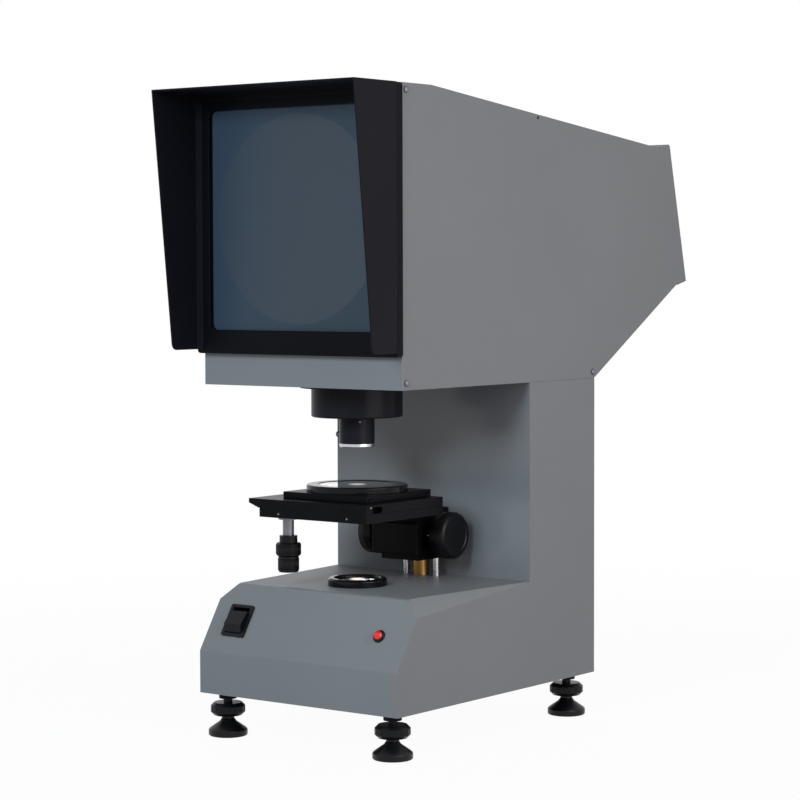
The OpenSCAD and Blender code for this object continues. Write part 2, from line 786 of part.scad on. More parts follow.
collector_y = 150;
collector_t = 12;
collector_r = 20;
collector_lip = 2;
collector_seat = 6;
collector_edge = 3;
collector_crown = 5;
filter_s = 44;
filter_t = 3;
holder_edge = 6;
module collector_holder() color(dark_paint) {
    half = filter_s / 2 + holder_edge;
    rear_y = collector_y + collector_t;
    difference() {
        along(collector_y, rear_y) translate([0, (plate_top_z + beam_z + half) / 2])
            square([2 * half, beam_z + half - plate_top_z], center = true);
        translate([0, collector_y - eps, beam_z]) rotate([-90, 0, 0]) {
            cylinder(r = collector_r - collector_lip, h = collector_t + 2 * eps);
            cylinder(r = collector_r + seat_fit, h = collector_seat + eps);
        }
        translate([0, 0, beam_z]) along(rear_y - filter_t, rear_y + eps)
            square(filter_s + 2 * seat_fit, center = true);
    }
}

module collector_lenses() color(clear) {
    rear_y = collector_y + collector_t;
    translate([0, collector_y + collector_seat, beam_z]) rotate([90, 0, 0])
        lens(collector_r, collector_edge, collector_crown);
    translate([0, 0, beam_z]) along(rear_y - filter_t, rear_y) square(filter_s, center = true);
}

lamp_back = 46;
bulb_y = collector_y + lamp_back;
bulb_r = 6;
bulb_l = 32;
socket_top_z = beam_z - bulb_l / 2;
module lamp_bulb() color(clear) translate([0, bulb_y, socket_top_z]) {
    cylinder(r = bulb_r, h = bulb_l - bulb_r);
    translate([0, 0, bulb_l - bulb_r]) difference() {
        sphere(bulb_r);
        translate([0, 0, -bulb_r - eps]) cylinder(r = 2 * bulb_r, h = bulb_r + eps);
    }
}

socket_w = 20;
socket_d = 16;
socket_foot_w = 32;
socket_foot_d = 24;
socket_foot_t = 3;
module lamp_socket() color("white") {
    box([-socket_foot_w / 2, bulb_y - socket_foot_d / 2, plate_top_z],
        [socket_foot_w / 2, bulb_y + socket_foot_d / 2, plate_top_z + socket_foot_t]);
    box([-socket_w / 2, bulb_y - socket_d / 2, plate_top_z],
        [socket_w / 2, bulb_y + socket_d / 2, socket_top_z]);
}

core_w = 66;
core_d = 39;
core_h = 54;
coil_inset = 11;
coil_out = 9;
coil_up = 6;
transformer_x = foot_x - post_s / 2 - core_w / 2 - cast_wall;
module transformer() color(copper) translate([transformer_x, base_l - column_d / 2, plate_top_z]) {
    translate([-core_w / 2, -core_d / 2, 0]) cube([core_w, core_d, core_h]);
    up(coil_up, core_h - coil_up) round_rect(core_w - 2 * coil_inset, core_d + 2 * coil_out, coil_up);
}

// Posts of the lift

post_y = axis_y + post_back;
pinion_z = deck_z + pinion_up;
rack_pitch_y = post_y - rack_post_d / 2 + (tooth_tip + tooth_root) * lift_module;
pinion_y = rack_pitch_y - lift_module * lift_teeth / 2;
lift_rack_n = 7;
module guide_rods() color(steel)
    for (p = rod_places)
        translate([p[0], p[1], deck_z - cast_wall]) cylinder(d = rod_d, h = cast_wall + post_h);

module rack_post() color(brass) difference() {
    on_axis(0, post_y) translate([0, 0, deck_z]) cylinder(d = rack_post_d, h = post_h);
    front = post_y - rack_post_d;
    half = rack_half(lift_module, lift_rack_n);
    teeth = rack_teeth(lift_module, lift_rack_n);
    across(rack_post_d + 2 * eps) polygon(concat([[front, pinion_z - half]],
        [for (t = teeth) [rack_pitch_y - t[1], pinion_z + t[0]]], [[front, pinion_z + half]]));
}

// Head: folded sheets between two flat side panels

function rear_pt(u, v) = [rear_reach - u * sin(rear_lean) - v * cos(rear_lean),
    head_z + rear_edge_h + u * cos(rear_lean) - v * sin(rear_lean)];
head_points = [[head_set, head_z], [base_l, head_z],
    rear_pt(mirror_cover_t, mirror_cover_d), rear_pt(mirror_cover_t, mirror_cover_t),
    rear_pt(rear_face_l - mirror_cover_t, mirror_cover_t),
    rear_pt(rear_face_l - mirror_cover_t, mirror_cover_d),
    [head_set + brow_l, crown_z], [head_set, crown_z]];
head_in = head_w - 2 * side_t;

// Outline of the side panels, which also close the ends of the mirror cover
cover_points = [rear_pt(0, mirror_cover_d), rear_pt(0, 0), rear_pt(rear_face_l, 0),
    rear_pt(rear_face_l, mirror_cover_d)];
cover_corner_r = 3;
side_points = concat([head_points[0], head_points[1], head_points[2]], cover_points,
    [head_points[5], head_points[6], head_points[7]]);
side_corners = [0, 0, 0, 0, 0, cover_corner_r, 0, 0, 0, 0];

// Places of the side panel screws, a fixed distance inside the outline, and of the roof's screws
screw_line = inset(head_points, screw_in);
side_screws = [screw_line[0], screw_line[1], screw_line[7]];
roof_share = 0.43;
roof_screw = head_points[6] + roof_share * (head_points[5] - head_points[6]);
roof_a = atan2(head_points[6].y - head_points[5].y, head_points[5].x - head_points[6].x);
roof_screw_x = head_in / 2 - sheet_t - screw_in;

// The band of the outline between two of its corners, with both ends given
module band(first, last, t, start, end) {
    inner = inset(head_points, t);
    outer_run = [for (i = [first:last]) head_points[i]];
    inner_run = [for (i = [first:last]) inner[i]];
    polygon(concat(start[0], outer_run, end[0], end[1], reverse(inner_run), start[1]));
}

module floor_2d(t)
    band(0, 3, t, [[[head_set, window_z - lip]], [[head_set + t, window_z - lip]]], [[], []]);
module roof_2d(t)
    band(4, 7, t, [[], []], [[[head_set, window_top_z + lip]], [[head_set + t, window_top_z + lip]]]);

module flange_pair() for (s = [-1, 1]) across(sheet_t, s * (head_in - sheet_t) / 2) children();

module side_screw_holes(depth)
    for (s = [-1, 1])
        for (p = side_screws)
            translate([s * head_w / 2, p.x, p.y]) rotate([0, s * 90, 0]) screw_hole(depth);

lens_screw_places = [for (a = [90, 210, 330]) (lens_flange_d + drum_d) / 4 * [cos(a), sin(a)]];
module head_floor() color(paint) difference() {
    union() {
        across(head_in) floor_2d(sheet_t);
        flange_pair() floor_2d(flange_w);
    }
    side_screw_holes(side_t + sheet_t + eps);
    on_axis() floor_bore(cell_d / 2 + seat_fit);
    for (p = lens_screw_places)
        on_axis() translate([p[0], p[1], head_z + sheet_t]) screw_hole(sheet_t + eps);
    on_axis(0, base_l - column_d / 2) floor_bore(wire_hole_r);
}
module floor_bore(r) translate([0, 0, head_z - eps]) cylinder(r = r, h = sheet_t + 2 * eps);

// Stands on the sloping roof at one of its screws
module on_roof(s) {
    translate([s * roof_screw_x, roof_screw.x, roof_screw.y]) rotate([-roof_a, 0, 0]) children();
}

module head_top() color(paint) difference() {
    union() {
        across(head_in) roof_2d(sheet_t);
        flange_pair() roof_2d(flange_w);
    }
    side_screw_holes(side_t + sheet_t + eps);
    for (s = [-1, 1]) on_roof(s) screw_hole(sheet_t + eps);
}

module head_side(s) color(paint) difference() {
    across(side_t, s * (head_w - side_t) / 2) round_profile(side_points, side_corners);
    side_screw_holes(side_t + eps);
}
module head_side_left() head_side(-1);
module head_side_right() head_side(1);

// Folded cover that closes the rear of the head between the side panels
module mirror_cover() color(paint) difference() {
    top_u = rear_face_l - mirror_cover_t;
    across(head_in) round_profile(cover_points, [0, 0, cover_corner_r, 0]);
    across(head_in + 2 * eps) polygon([rear_pt(mirror_cover_t, mirror_cover_d + eps),
        rear_pt(mirror_cover_t, mirror_cover_t), rear_pt(top_u, mirror_cover_t),
        rear_pt(top_u, mirror_cover_d + eps)]);
}

frame_r = 3;
module screen_frame() color(dark_paint) difference() {
    seat_w = window_w + 2 * (screen_lap + seat_fit);
    seat_h = window_h + 2 * (screen_lap + seat_fit);
    translate([0, 0, crown_z - frame_h / 2]) along(frame_y, head_set) round_rect(frame_w, frame_h, frame_r);
    translate([0, 0, screen_mid_z]) {
        along(frame_y - eps, head_set + eps) round_rect(window_w, window_h, window_r);
        along(head_set - screen_t, head_set + eps) square([seat_w, seat_h], center = true);
    }
}

module screen_glass() color(clear) translate([0, 0, screen_mid_z]) along(head_set - screen_t, head_set)
    square([window_w + 2 * screen_lap, window_h + 2 * screen_lap], center = true);

// Folded hood: a roof and two cheeks, open below, with a flange on the frame
hood_corner_r = 6;
module screen_hood() color(dark_paint) {
    low_z = frame_z + hood_short;
    half_w = frame_w / 2;
    difference() {
        across(frame_w) round_profile([[-hood_low_reach, low_z], [frame_y, low_z], [frame_y, crown_z],
            [-hood_reach, crown_z]], [hood_corner_r, 0, 0, 0]);
        box([-half_w + hood_t, -hood_reach - eps, low_z - eps],
            [half_w - hood_t, frame_y - hood_t, crown_z - hood_t]);
        box([-half_w + hood_flange, frame_y - hood_t - eps, low_z - eps],
            [half_w - hood_flange, frame_y + eps, crown_z - hood_flange]);
    }
}

// Lens train

drum_z = head_z - lens_flange_t - drum_h;
drum_bevel = 1;
barrel_z = drum_z - barrel_l;
cell_up = 12;
cell_z = drum_z + cell_up;
spigot_step = 2.9;
spigot_r = barrel_d / 2 - spigot_step;
flange_z = head_z - lens_flange_t;
// The flange screws sit in counterbores, with their heads flush
lens_seat_z = flange_z + screw_head_h;
module lens_mount() color(black) difference() {
    cell_r = cell_d / 2 + seat_fit;
    bore_r = spigot_r + seat_fit;
    on_axis() turned([[bore_r, drum_z], [drum_d / 2 - drum_bevel, drum_z], [drum_d / 2, drum_z + drum_bevel],
        [drum_d / 2, flange_z], [lens_flange_d / 2, flange_z], [lens_flange_d / 2, head_z],
        [cell_r, head_z], [cell_r, cell_z], [bore_r, cell_z]]);
    for (p = lens_screw_places)
        on_axis() translate([p[0], p[1], head_z]) {
            screw_hole(lens_flange_t + eps);
            translate([0, 0, -lens_flange_t - eps])
                cylinder(r = screw_head_r + seat_fit, h = screw_head_h + eps);
        }
}

thumb_down = 16.5;
thumb_grip = 3;
thumb_z = drum_z - thumb_down;
barrel_seat = 6;
barrel_lip = 2;
module objective_barrel() color(black) difference() {
    low_z = barrel_z + barrel_ring_h;
    lens_r = objective_d / 2 + seat_fit;
    bore_r = objective_d / 2 - barrel_lip;
    on_axis() turned([[lens_r, low_z], [barrel_d / 2, low_z], [barrel_d / 2, drum_z], [spigot_r, drum_z],
        [spigot_r, cell_z], [bore_r, cell_z], [bore_r, low_z + barrel_seat], [lens_r, low_z + barrel_seat]]);
    on_axis() translate([-barrel_d / 2, 0, thumb_z]) rotate([0, -90, 0]) screw_hole(thumb_grip);
}

ring_bevel = 0.6;
module objective_ring() color(steel) on_axis() {
    mouth_r = objective_d / 2 - barrel_lip;
    seat_z = barrel_z + barrel_ring_h;
    turned([[mouth_r, barrel_z], [barrel_d / 2 - ring_bevel, barrel_z],
        [barrel_d / 2, barrel_z + ring_bevel], [barrel_d / 2, seat_z], [mouth_r, seat_z]]);
}

objective_edge = 3;
objective_crown = 2.4;
module objective_lens() color(clear) on_axis() translate([0, 0, barrel_z + barrel_ring_h])
    lens(objective_d / 2, objective_edge, objective_crown);

cell_wall = 3;
cell_floor = 4;
module projection_cell() color(black) on_axis() translate([0, 0, cell_z])
    turned([[cell_d / 2 - 2 * cell_wall, 0], [cell_d / 2, 0], [cell_d / 2, cell_h],
        [cell_d / 2 - cell_wall, cell_h], [cell_d / 2 - cell_wall, cell_floor],
        [cell_d / 2 - 2 * cell_wall, cell_floor]]);

projection_edge = 4;
projection_crown = 6;
module projection_lens() color(clear) on_axis() translate([0, 0, cell_z + cell_floor])
    lens(cell_d / 2 - cell_wall - seat_fit, projection_edge, projection_crown);

// Mirrors of the head: each face halves the angle between the beams that meet on it
turn_c = [axis_y, head_z + sheet_t + turn_up];
rear_c = rear_pt(rear_face_l / 2, rear_mirror_off);
screen_c = [head_set - screen_t, screen_mid_z];
turn_n = unit(unit(rear_c - turn_c) - [0, 1]);
rear_n = unit(unit(screen_c - rear_c) - unit(rear_c - turn_c));

module turning_mirror() color(silvered) across(turn_mirror_w) mirror_2d(turn_c, turn_n, turn_mirror_l);

rib_foot_l = 24;
module turning_mirror_bracket() color(dark_paint) {
    a = mirror_end(turn_c, turn_n, turn_mirror_l / 2) - mirror_t * turn_n;
    b = mirror_end(turn_c, turn_n, -turn_mirror_l / 2) - mirror_t * turn_n;
    low = a.y < b.y ? a : b;
    high = a.y < b.y ? b : a;
    floor_z = head_z + sheet_t;
    front_y = low.x - rib_foot_l;
    for (s = [-1, 1])
        across(rib_t, s * (turn_mirror_w / 2 - rib_t))
            polygon([[front_y, floor_z], [low.x, floor_z], low, high, [high.x - rib_foot_l, high.y]]);
    box([-turn_mirror_w / 2 + rib_t, front_y, floor_z],
        [turn_mirror_w / 2 - rib_t, front_y + rib_t, floor_z + rib_foot_l]);
}

module rear_mirror() color(silvered) across(rear_mirror_w) mirror_2d(rear_c, rear_n, rear_mirror_l);

// Two tapered rails that set the rear mirror at its angle inside the cover
mirror_rail_t = 8;
module rear_mirror_frame() color(dark_paint) {
    a = mirror_end(rear_c, rear_n, rear_mirror_l / 2) - mirror_t * rear_n;
    b = mirror_end(rear_c, rear_n, -rear_mirror_l / 2) - mirror_t * rear_n;
    low = a.y < b.y ? a : b;
    high = a.y < b.y ? b : a;
    edge = (rear_face_l - rear_mirror_l) / 2;
    for (s = [-1, 1])
        across(mirror_rail_t, s * (rear_mirror_w / 2 - mirror_rail_t))
            polygon([low, rear_pt(edge, mirror_cover_t), rear_pt(rear_face_l - edge, mirror_cover_t), high]);
}

thumb_r = 2.6;
thumb_l = 7;
thumb_neck = 1;
thumb_bevel = 0.6;
module screws() color(steel) {
    for (s = [-1, 1])
        for (p = side_screws)
            translate([s * head_w / 2, p.x, p.y]) rotate([0, s * 90, 0]) screw(side_t + sheet_t);
    for (s = [-1, 1]) on_roof(s) screw(sheet_t);
    for (p = rear_screws)
        translate([p[0], base_l + cover_plate_t, p[1]]) rotate([-90, 0, 0])
            screw(cover_plate_t + cast_wall);
    for (p = lens_screw_places)
        on_axis() translate([p[0], p[1], lens_seat_z]) rotate([180, 0, 0])
            screw(head_z + sheet_t - lens_seat_z);
    on_axis() translate([-barrel_d / 2, 0, thumb_z]) rotate([0, -90, 0])
        turned([[0, -thumb_grip], [screw_r, -thumb_grip], [screw_r, thumb_neck], [thumb_r, thumb_neck],
            [thumb_r, thumb_l - thumb_bevel], [thumb_r - thumb_bevel, thumb_l], [0, thumb_l]]);
}

// Stage: three plates on dovetails and a turning disc

rail_clear = 5.4;
rail_edge = 5.5;
rail_x = aperture_d / 2 + rail_clear;
rail_y = top_s / 2 - rail_edge;
rail_slope = 0.8;
module rail_2d(h, w) polygon([[-w / 2 + rail_slope, 0], [w / 2 - rail_slope, 0], [w / 2, h], [-w / 2, h]]);
module rail_slot_2d() {
    neck = rail_w / 2 - rail_slope + seat_fit;
    half = rail_w / 2 + seat_fit;
    deep = rail_h + seat_fit;
    polygon([[-neck, -eps], [neck, -eps], [neck, 0], [half, deep], [-half, deep], [-neck, 0]]);
}

stage_pinion_r = stage_module * stage_teeth / 2;
stage_rack_n = 7;
rack_back = 3.06;
drive_boss_r = drive_boss_d / 2;
y_pitch_x = drive_x + stage_pinion_r;
x_pitch_y = drive_y + stage_pinion_r;
y_rack_back = y_pitch_x + tooth_root * stage_module + rack_back;
x_rack_back = x_pitch_y + tooth_root * stage_module + rack_back;
stage_rack_half = rack_half(stage_module, stage_rack_n);
web_half = 30;

// The middle plate reaches as far back as the top plate that slides on it
middle_rear_y = axis_y + top_s / 2;
module stage_base_plate() color(black) {
    room = drive_boss_r + pass_gap;
    difference() {
        box([-plate_w / 2, plate_y, lower_z], [plate_w / 2, plate_y + plate_l, middle_z]);
        on_axis() translate([0, 0, lower_z - eps]) cylinder(d = aperture_d, h = lower_t + 2 * eps);
        box([drive_x - room, drive_y - room - slide_travel, lower_z - eps],
            [y_rack_back, drive_y + room + slide_travel, middle_z + eps]);
    }
    for (s = [-1, 1])
        translate([s * rail_x, 0, middle_z]) along(plate_y, plate_y + plate_l) rail_2d(rail_h, rail_w);
}

rack_gap = 0.5;
module y_rack() color(steel) up(lower_z + rack_gap, middle_z - rack_gap)
    polygon(concat([[y_rack_back, drive_y - stage_rack_half]],
        [for (t = rack_teeth(stage_module, stage_rack_n)) [y_pitch_x - t[1], drive_y + t[0]]],
        [[y_rack_back, drive_y + stage_rack_half]]));

lock_l = 14;
lock_h = 5.4;
lock_up = 3.3;
lock_back = 15.7;
lock_depth = 6;
arm_slope = 11;
rack_cover = 2;
rack_z = middle_z + rail_h + rack_gap;
rack_top_z = top_z - rack_cover;
pinion_gap = 0.45;
pinion_room_r = stage_pinion_r + stage_module + pinion_gap;
module y_slide_plate() color(black) {
    tip_x = -plate_w / 2 - arm_l;
    room = slide_travel + 2 * pass_gap;
    slot_rear_y = x_rack_back + pass_gap;
    difference() {
        along(plate_y, middle_rear_y) polygon([[tip_x, top_z], [tip_x, top_z - middle_t / 2],
            [tip_x + arm_slope, middle_z], [plate_w / 2, middle_z], [plate_w / 2, top_z]]);
        on_axis() translate([0, 0, middle_z - eps]) cylinder(d = aperture_d, h = middle_t + 2 * eps);
        for (s = [-1, 1])
            translate([s * rail_x, 0, middle_z]) along(plate_y - eps, middle_rear_y + eps) rail_slot_2d();
        translate([drive_x, drive_y, middle_z - eps])
            cylinder(r = pinion_room_r, h = rack_top_z + pass_gap - middle_z + eps);
        box([drive_x - stage_rack_half - room, x_pitch_y - stage_module - pass_gap, rack_z - seat_fit],
            [web_half + room, slot_rear_y, rack_top_z + pass_gap]);
        box([-web_half - room, x_pitch_y + stage_module, rack_top_z - eps],
            [web_half + room, slot_rear_y, top_z + eps]);
        translate([plate_w / 2 + eps, plate_y + lock_back, middle_z + lock_up]) rotate([0, -90, 0])
            linear_extrude(lock_depth + eps) round_rect(lock_h, lock_l, (lock_h - slot_flat) / 2);
    }
    for (s = [-1, 1])
        translate([0, axis_y + s * rail_y, top_z]) rotate([0, 0, 90])
            along(-top_s / 2, top_s / 2) rail_2d(rail_h, rail_w);
}

boss_top_z = lower_z - pass_gap;
boss_h = 2.9;
cheek_cut = 1;
sleeve_z = boss_top_z - boss_h - sleeve_l;
module drive_sleeve() color(steel) on_axis(drive_x, drive_y) {
    shaft_r = upper_shaft_d / 2 + run_fit;
    ring(drive_boss_r, shaft_r, boss_top_z - boss_h, boss_top_z);
    ring(sleeve_d / 2, shaft_r, sleeve_z, boss_top_z - boss_h);
    intersection() {
        ring(drive_boss_r, pinion_room_r, boss_top_z, middle_z);
        box([-drive_boss_d, -drive_boss_d, boss_top_z - eps], [-cheek_cut, drive_boss_d, middle_z + eps]);
    }
}

knob_gap = 0.2;
knob_bevel = 1;
pinion_short = 0.6;
pinion_sink = 0.5;
hub_z = sleeve_z - knob_gap - upper_hub_h;
upper_knob_z = hub_z - upper_knob_h;
upper_end_z = middle_z - pinion_short;
module y_knob() color(black) on_axis(drive_x, drive_y) {
    bore = lower_shaft_d / 2 + run_fit;
    knob_r = upper_knob_d / 2;
    turned([[bore, upper_knob_z], [knob_r - knob_bevel, upper_knob_z], [knob_r, upper_knob_z + knob_bevel],
        [knob_r, hub_z - knob_bevel], [knob_r - knob_bevel, hub_z], [upper_hub_d / 2, hub_z],
        [upper_hub_d / 2, hub_z + upper_hub_h], [upper_shaft_d / 2, hub_z + upper_hub_h],
        [upper_shaft_d / 2, upper_end_z], [bore, upper_end_z]]);
    difference() {
        up(boss_top_z + pass_gap, upper_end_z) pinion_2d(stage_module, stage_teeth);
        translate([0, 0, lower_z - eps]) cylinder(r = upper_shaft_d / 2 - pinion_sink, h = lower_t + 2 * eps);
    }
}

shaft_over = 1;
lower_knob_top_z = upper_knob_z - knob_gap;
module x_knob() color(black) on_axis(drive_x, drive_y) {
    knob_r = lower_knob_d / 2;
    low_z = lower_knob_top_z - lower_knob_h;
    end_z = middle_z + shaft_over;
    turned([[0, low_z], [knob_r - knob_bevel, low_z], [knob_r, low_z + knob_bevel],
        [knob_r, lower_knob_top_z - knob_bevel / 2], [knob_r - knob_bevel / 2, lower_knob_top_z],
        [lower_shaft_d / 2, lower_knob_top_z], [lower_shaft_d / 2, end_z], [0, end_z]]);
    rotate([0, 0, 90]) up(middle_z + pinion_short, rack_top_z) pinion_2d(stage_module, stage_teeth);
}

disc_flange = 1;
disc_ledge = 3;
disc_seat = 2;
disc_float = 0.2;
disc_bevel = 1;
glass_sink = 0.4;
disc_bore_r = stage_glass_d / 2 + disc_flange;
module x_slide_plate() color(black) difference() {
    up(top_z, disc_z) translate([0, axis_y]) square(top_s, center = true);
    on_axis() translate([0, 0, top_z - eps]) cylinder(r = disc_bore_r - disc_ledge, h = top_t + 2 * eps);
    on_axis() translate([0, 0, top_z + disc_seat]) cylinder(r = disc_bore_r + run_fit, h = top_t);
    for (s = [-1, 1])
        translate([0, axis_y + s * rail_y, top_z]) rotate([0, 0, 90])
            along(-top_s / 2 - eps, top_s / 2 + eps) rail_slot_2d();
}

module x_rack() color(steel) {
    root_y = x_pitch_y + tooth_root * stage_module;
    up(rack_z, rack_top_z) polygon(concat([[drive_x - stage_rack_half, x_rack_back]],
        [for (t = rack_teeth(stage_module, stage_rack_n)) [drive_x + t[0], x_pitch_y - t[1]]],
        [[drive_x + stage_rack_half, root_y], [web_half, root_y], [web_half, x_rack_back]]));
    box([-web_half, root_y, rack_top_z], [web_half, x_rack_back, top_z]);
}

glass_z = disc_top_z - stage_glass_t - glass_sink;
module stage_disc() color(black) on_axis() {
    low_z = top_z + disc_seat + disc_float;
    ledge_r = stage_glass_d / 2 - disc_ledge;
    glass_r = stage_glass_d / 2 + seat_fit;
    turned([[ledge_r, low_z], [disc_bore_r, low_z], [disc_bore_r, disc_z], [disc_d / 2, disc_z],
        [disc_d / 2, disc_top_z - disc_bevel], [disc_d / 2 - disc_bevel, disc_top_z],
        [glass_r, disc_top_z], [glass_r, glass_z], [ledge_r, glass_z]]);
}

module stage_glass() color(clear) on_axis() translate([0, 0, glass_z])
    cylinder(d = stage_glass_d, h = stage_glass_t);

// Lift

block_y = axis_y + block_back;
block_top_z = lower_z;
pinion_tip_r = lift_module * (lift_teeth / 2 + tooth_tip);
pinion_room = 1;
module lift_carriage() color(black) difference() {
    low_z = block_top_z - block_h;
    box([-block_w / 2, block_y, low_z], [block_w / 2, block_y + block_d, block_top_z]);
    for (p = rod_places)
        translate([p[0], p[1], low_z - eps]) cylinder(r = rod_d / 2 + run_fit, h = block_h + 2 * eps);
    translate([0, post_y, low_z - eps]) cylinder(r = rack_post_d / 2 + pass_gap, h = block_h + 2 * eps);
    across(block_w + 2 * eps) translate([pinion_y, pinion_z]) circle(pinion_shaft_d / 2 + run_fit);
    across(pinion_w + 2 * pinion_room) translate([pinion_y, pinion_z]) circle(pinion_tip_r + pass_gap);
}

bracket_clear = 2;
bracket_bevel = 3;
bracket_fillet = 4;
bracket_up = 6;
module stage_bracket() color(black) {
    front_y = axis_y + aperture_d / 2 + bracket_clear;
    under_z = lower_z - bracket_t;
    inner_y = block_y - bracket_t;
    foot_z = block_top_z - block_h + bracket_up;
    across(bracket_w) polygon([[front_y, lower_z], [front_y, under_z + bracket_bevel],
        [front_y + bracket_bevel, under_z], [inner_y - bracket_fillet, under_z],
        [inner_y, under_z - bracket_fillet], [inner_y, foot_z], [block_y, foot_z], [block_y, lower_z]]);
}

module pinion_shaft() color(steel) {
    end_x = block_w / 2 + pass_gap + focus_hub_l + focus_w / 2;
    across(2 * end_x) translate([pinion_y, pinion_z]) circle(d = pinion_shaft_d);
    across(pinion_w) translate([pinion_y, pinion_z]) pinion_2d(lift_module, lift_teeth);
}

// Both focus knobs: a waisted hub against the block and a turned grip with a dished face
hub_waist = 1.5;
hub_flare = 2;
focus_bevel = 2;
dish_rim = 5;
dish_slope = 1;
dish_h = 0.8;
module focus_knobs() color(black) {
    hub_x = block_w / 2 + pass_gap;
    grip_x = hub_x + focus_hub_l;
    end_x = grip_x + focus_w;
    bore_x = grip_x + focus_w / 2 + seat_fit;
    bore = pinion_shaft_d / 2 + seat_fit;
    hub_r = focus_hub_d / 2;
    grip_r = focus_d / 2;
    for (s = [-1, 1])
        translate([0, pinion_y, pinion_z]) rotate([0, s * 90, 0])
            turned([[bore, hub_x], [hub_r, hub_x], [hub_r - hub_waist, grip_x - hub_flare], [hub_r, grip_x],
                [grip_r - focus_bevel, grip_x], [grip_r, grip_x + focus_bevel],
                [grip_r, end_x - focus_bevel], [grip_r - focus_bevel, end_x],
                [grip_r - dish_rim, end_x], [grip_r - dish_rim - dish_slope, end_x - dish_h],
                [0, end_x - dish_h], [0, bore_x], [bore, bore_x]]);
}

// Levelling feet

pin_r = 3;
pin_depth = 8;
pin_end_gap = 0.3;
pad_bevel = 1;
pad_slope = 1.5;
flare_r = 7.5;
neck_r = 5.6;
// Heights on the pad as shares of its whole height
pad_rim_share = 0.3;
pad_slope_share = 0.38;
flare_share = 0.7;
neck_share = 0.85;
module foot_pad(x, y) color(black) on_axis(x, y) {
    bore_r = pin_r + run_fit;
    bore_z = pad_h - pin_depth - pin_end_gap;
    turned([[0, 0], [pad_d / 2 - pad_bevel, 0], [pad_d / 2, pad_bevel], [pad_d / 2, pad_h * pad_rim_share],
        [pad_d / 2 - pad_slope, pad_h * pad_slope_share], [flare_r, pad_h * flare_share],
        [neck_r, pad_h * neck_share], [neck_r, pad_h], [bore_r, pad_h], [bore_r, bore_z], [0, bore_z]]);
}

grip_n = 16;
grip_cut_r = 1.2;
grip_out = 0.6;
wheel_bevel = 3;
stud_bevel = 1;
module foot_screw(x, y) color(black) on_axis(x, y) {
    wheel_r = wheel_d / 2;
    wheel_top_z = pad_h + wheel_t;
    stud_top_z = base_z + stud_in;
    turned([[0, pad_h - pin_depth], [pin_r, pad_h - pin_depth], [pin_r, wheel_top_z],
        [stud_d / 2, wheel_top_z], [stud_d / 2, stud_top_z - stud_bevel],
        [stud_d / 2 - stud_bevel, stud_top_z], [0, stud_top_z]]);
    difference() {
        turned([[0, pad_h], [wheel_r - wheel_bevel, pad_h], [wheel_r, pad_h + wheel_bevel],
            [wheel_r, wheel_top_z - wheel_bevel], [wheel_r - wheel_bevel, wheel_top_z], [0, wheel_top_z]]);
        for (i = [0:grip_n - 1])
            rotate([0, 0, i * 360 / grip_n]) translate([wheel_r + grip_out, 0, pad_h - eps])
                cylinder(r = grip_cut_r, h = wheel_t + 2 * eps);
    }
}

placed() base_body();
placed() bottom_plate();
placed() rear_cover();
placed() power_inlet();
placed() switch_housing();
placed() indicator_bezel();
placed() indicator_lens();
placed() condenser_ring();
placed() condenser_lens();
placed() base_mirror();
placed() base_mirror_bracket();
placed() collector_holder();
placed() collector_lenses();
placed() lamp_bulb();
placed() lamp_socket();
placed() transformer();
placed() guide_rods();
placed() rack_post();
placed() head_floor();
placed() head_top();
placed() head_side_left();
placed() head_side_right();
placed() mirror_cover();
placed() screen_frame();
placed() screen_glass();
placed() screen_hood();
placed() lens_mount();
placed() objective_barrel();
placed() objective_ring();
placed() objective_lens();
placed() projection_cell();
placed() projection_lens();
placed() turning_mirror();
placed() turning_mirror_bracket();
placed() rear_mirror();
placed() rear_mirror_frame();
placed() screws();
placed() lift_carriage();
placed() stage_bracket();
placed() stage_base_plate();
placed() y_rack();
placed() pinion_shaft();
placed() focus_knobs();
placed() y_slide_plate();
placed() drive_sleeve();
placed() x_slide_plate();
placed() x_rack();
placed() stage_disc();
placed() stage_glass();
placed() y_knob();
placed() x_knob();
placed() switch_rocker();
placed() foot_pad(-foot_x, foot_front_y);  // foot_pad_front_left
placed() foot_pad(foot_x, foot_front_y);  // foot_pad_front_right
placed() foot_pad(-foot_x, foot_rear_y);  // foot_pad_rear_left
placed() foot_pad(foot_x, foot_rear_y);  // foot_pad_rear_right
placed() foot_screw(-foot_x, foot_front_y);  // foot_screw_front_left
placed() foot_screw(foot_x, foot_front_y);  // foot_screw_front_right
placed() foot_screw(-foot_x, foot_rear_y);  // foot_screw_rear_left
placed() foot_screw(foot_x, foot_rear_y);  // foot_screw_rear_right
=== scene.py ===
# %% [markdown]
# # Finishing a bench optical comparator
# A comparator throws the magnified shadow of a small part onto a ground-glass screen. This one is a
# grey cast base with a column, a folded-sheet head with a black hood, and a black stage that racks up
# and down under the lens. The solids come with their real sizes and joints, so this lesson only gives
# them soft edges, small parts and finishes.

# %% Load the solids
import json
import math

import bmesh
import bpy
from mathutils import Matrix, Vector


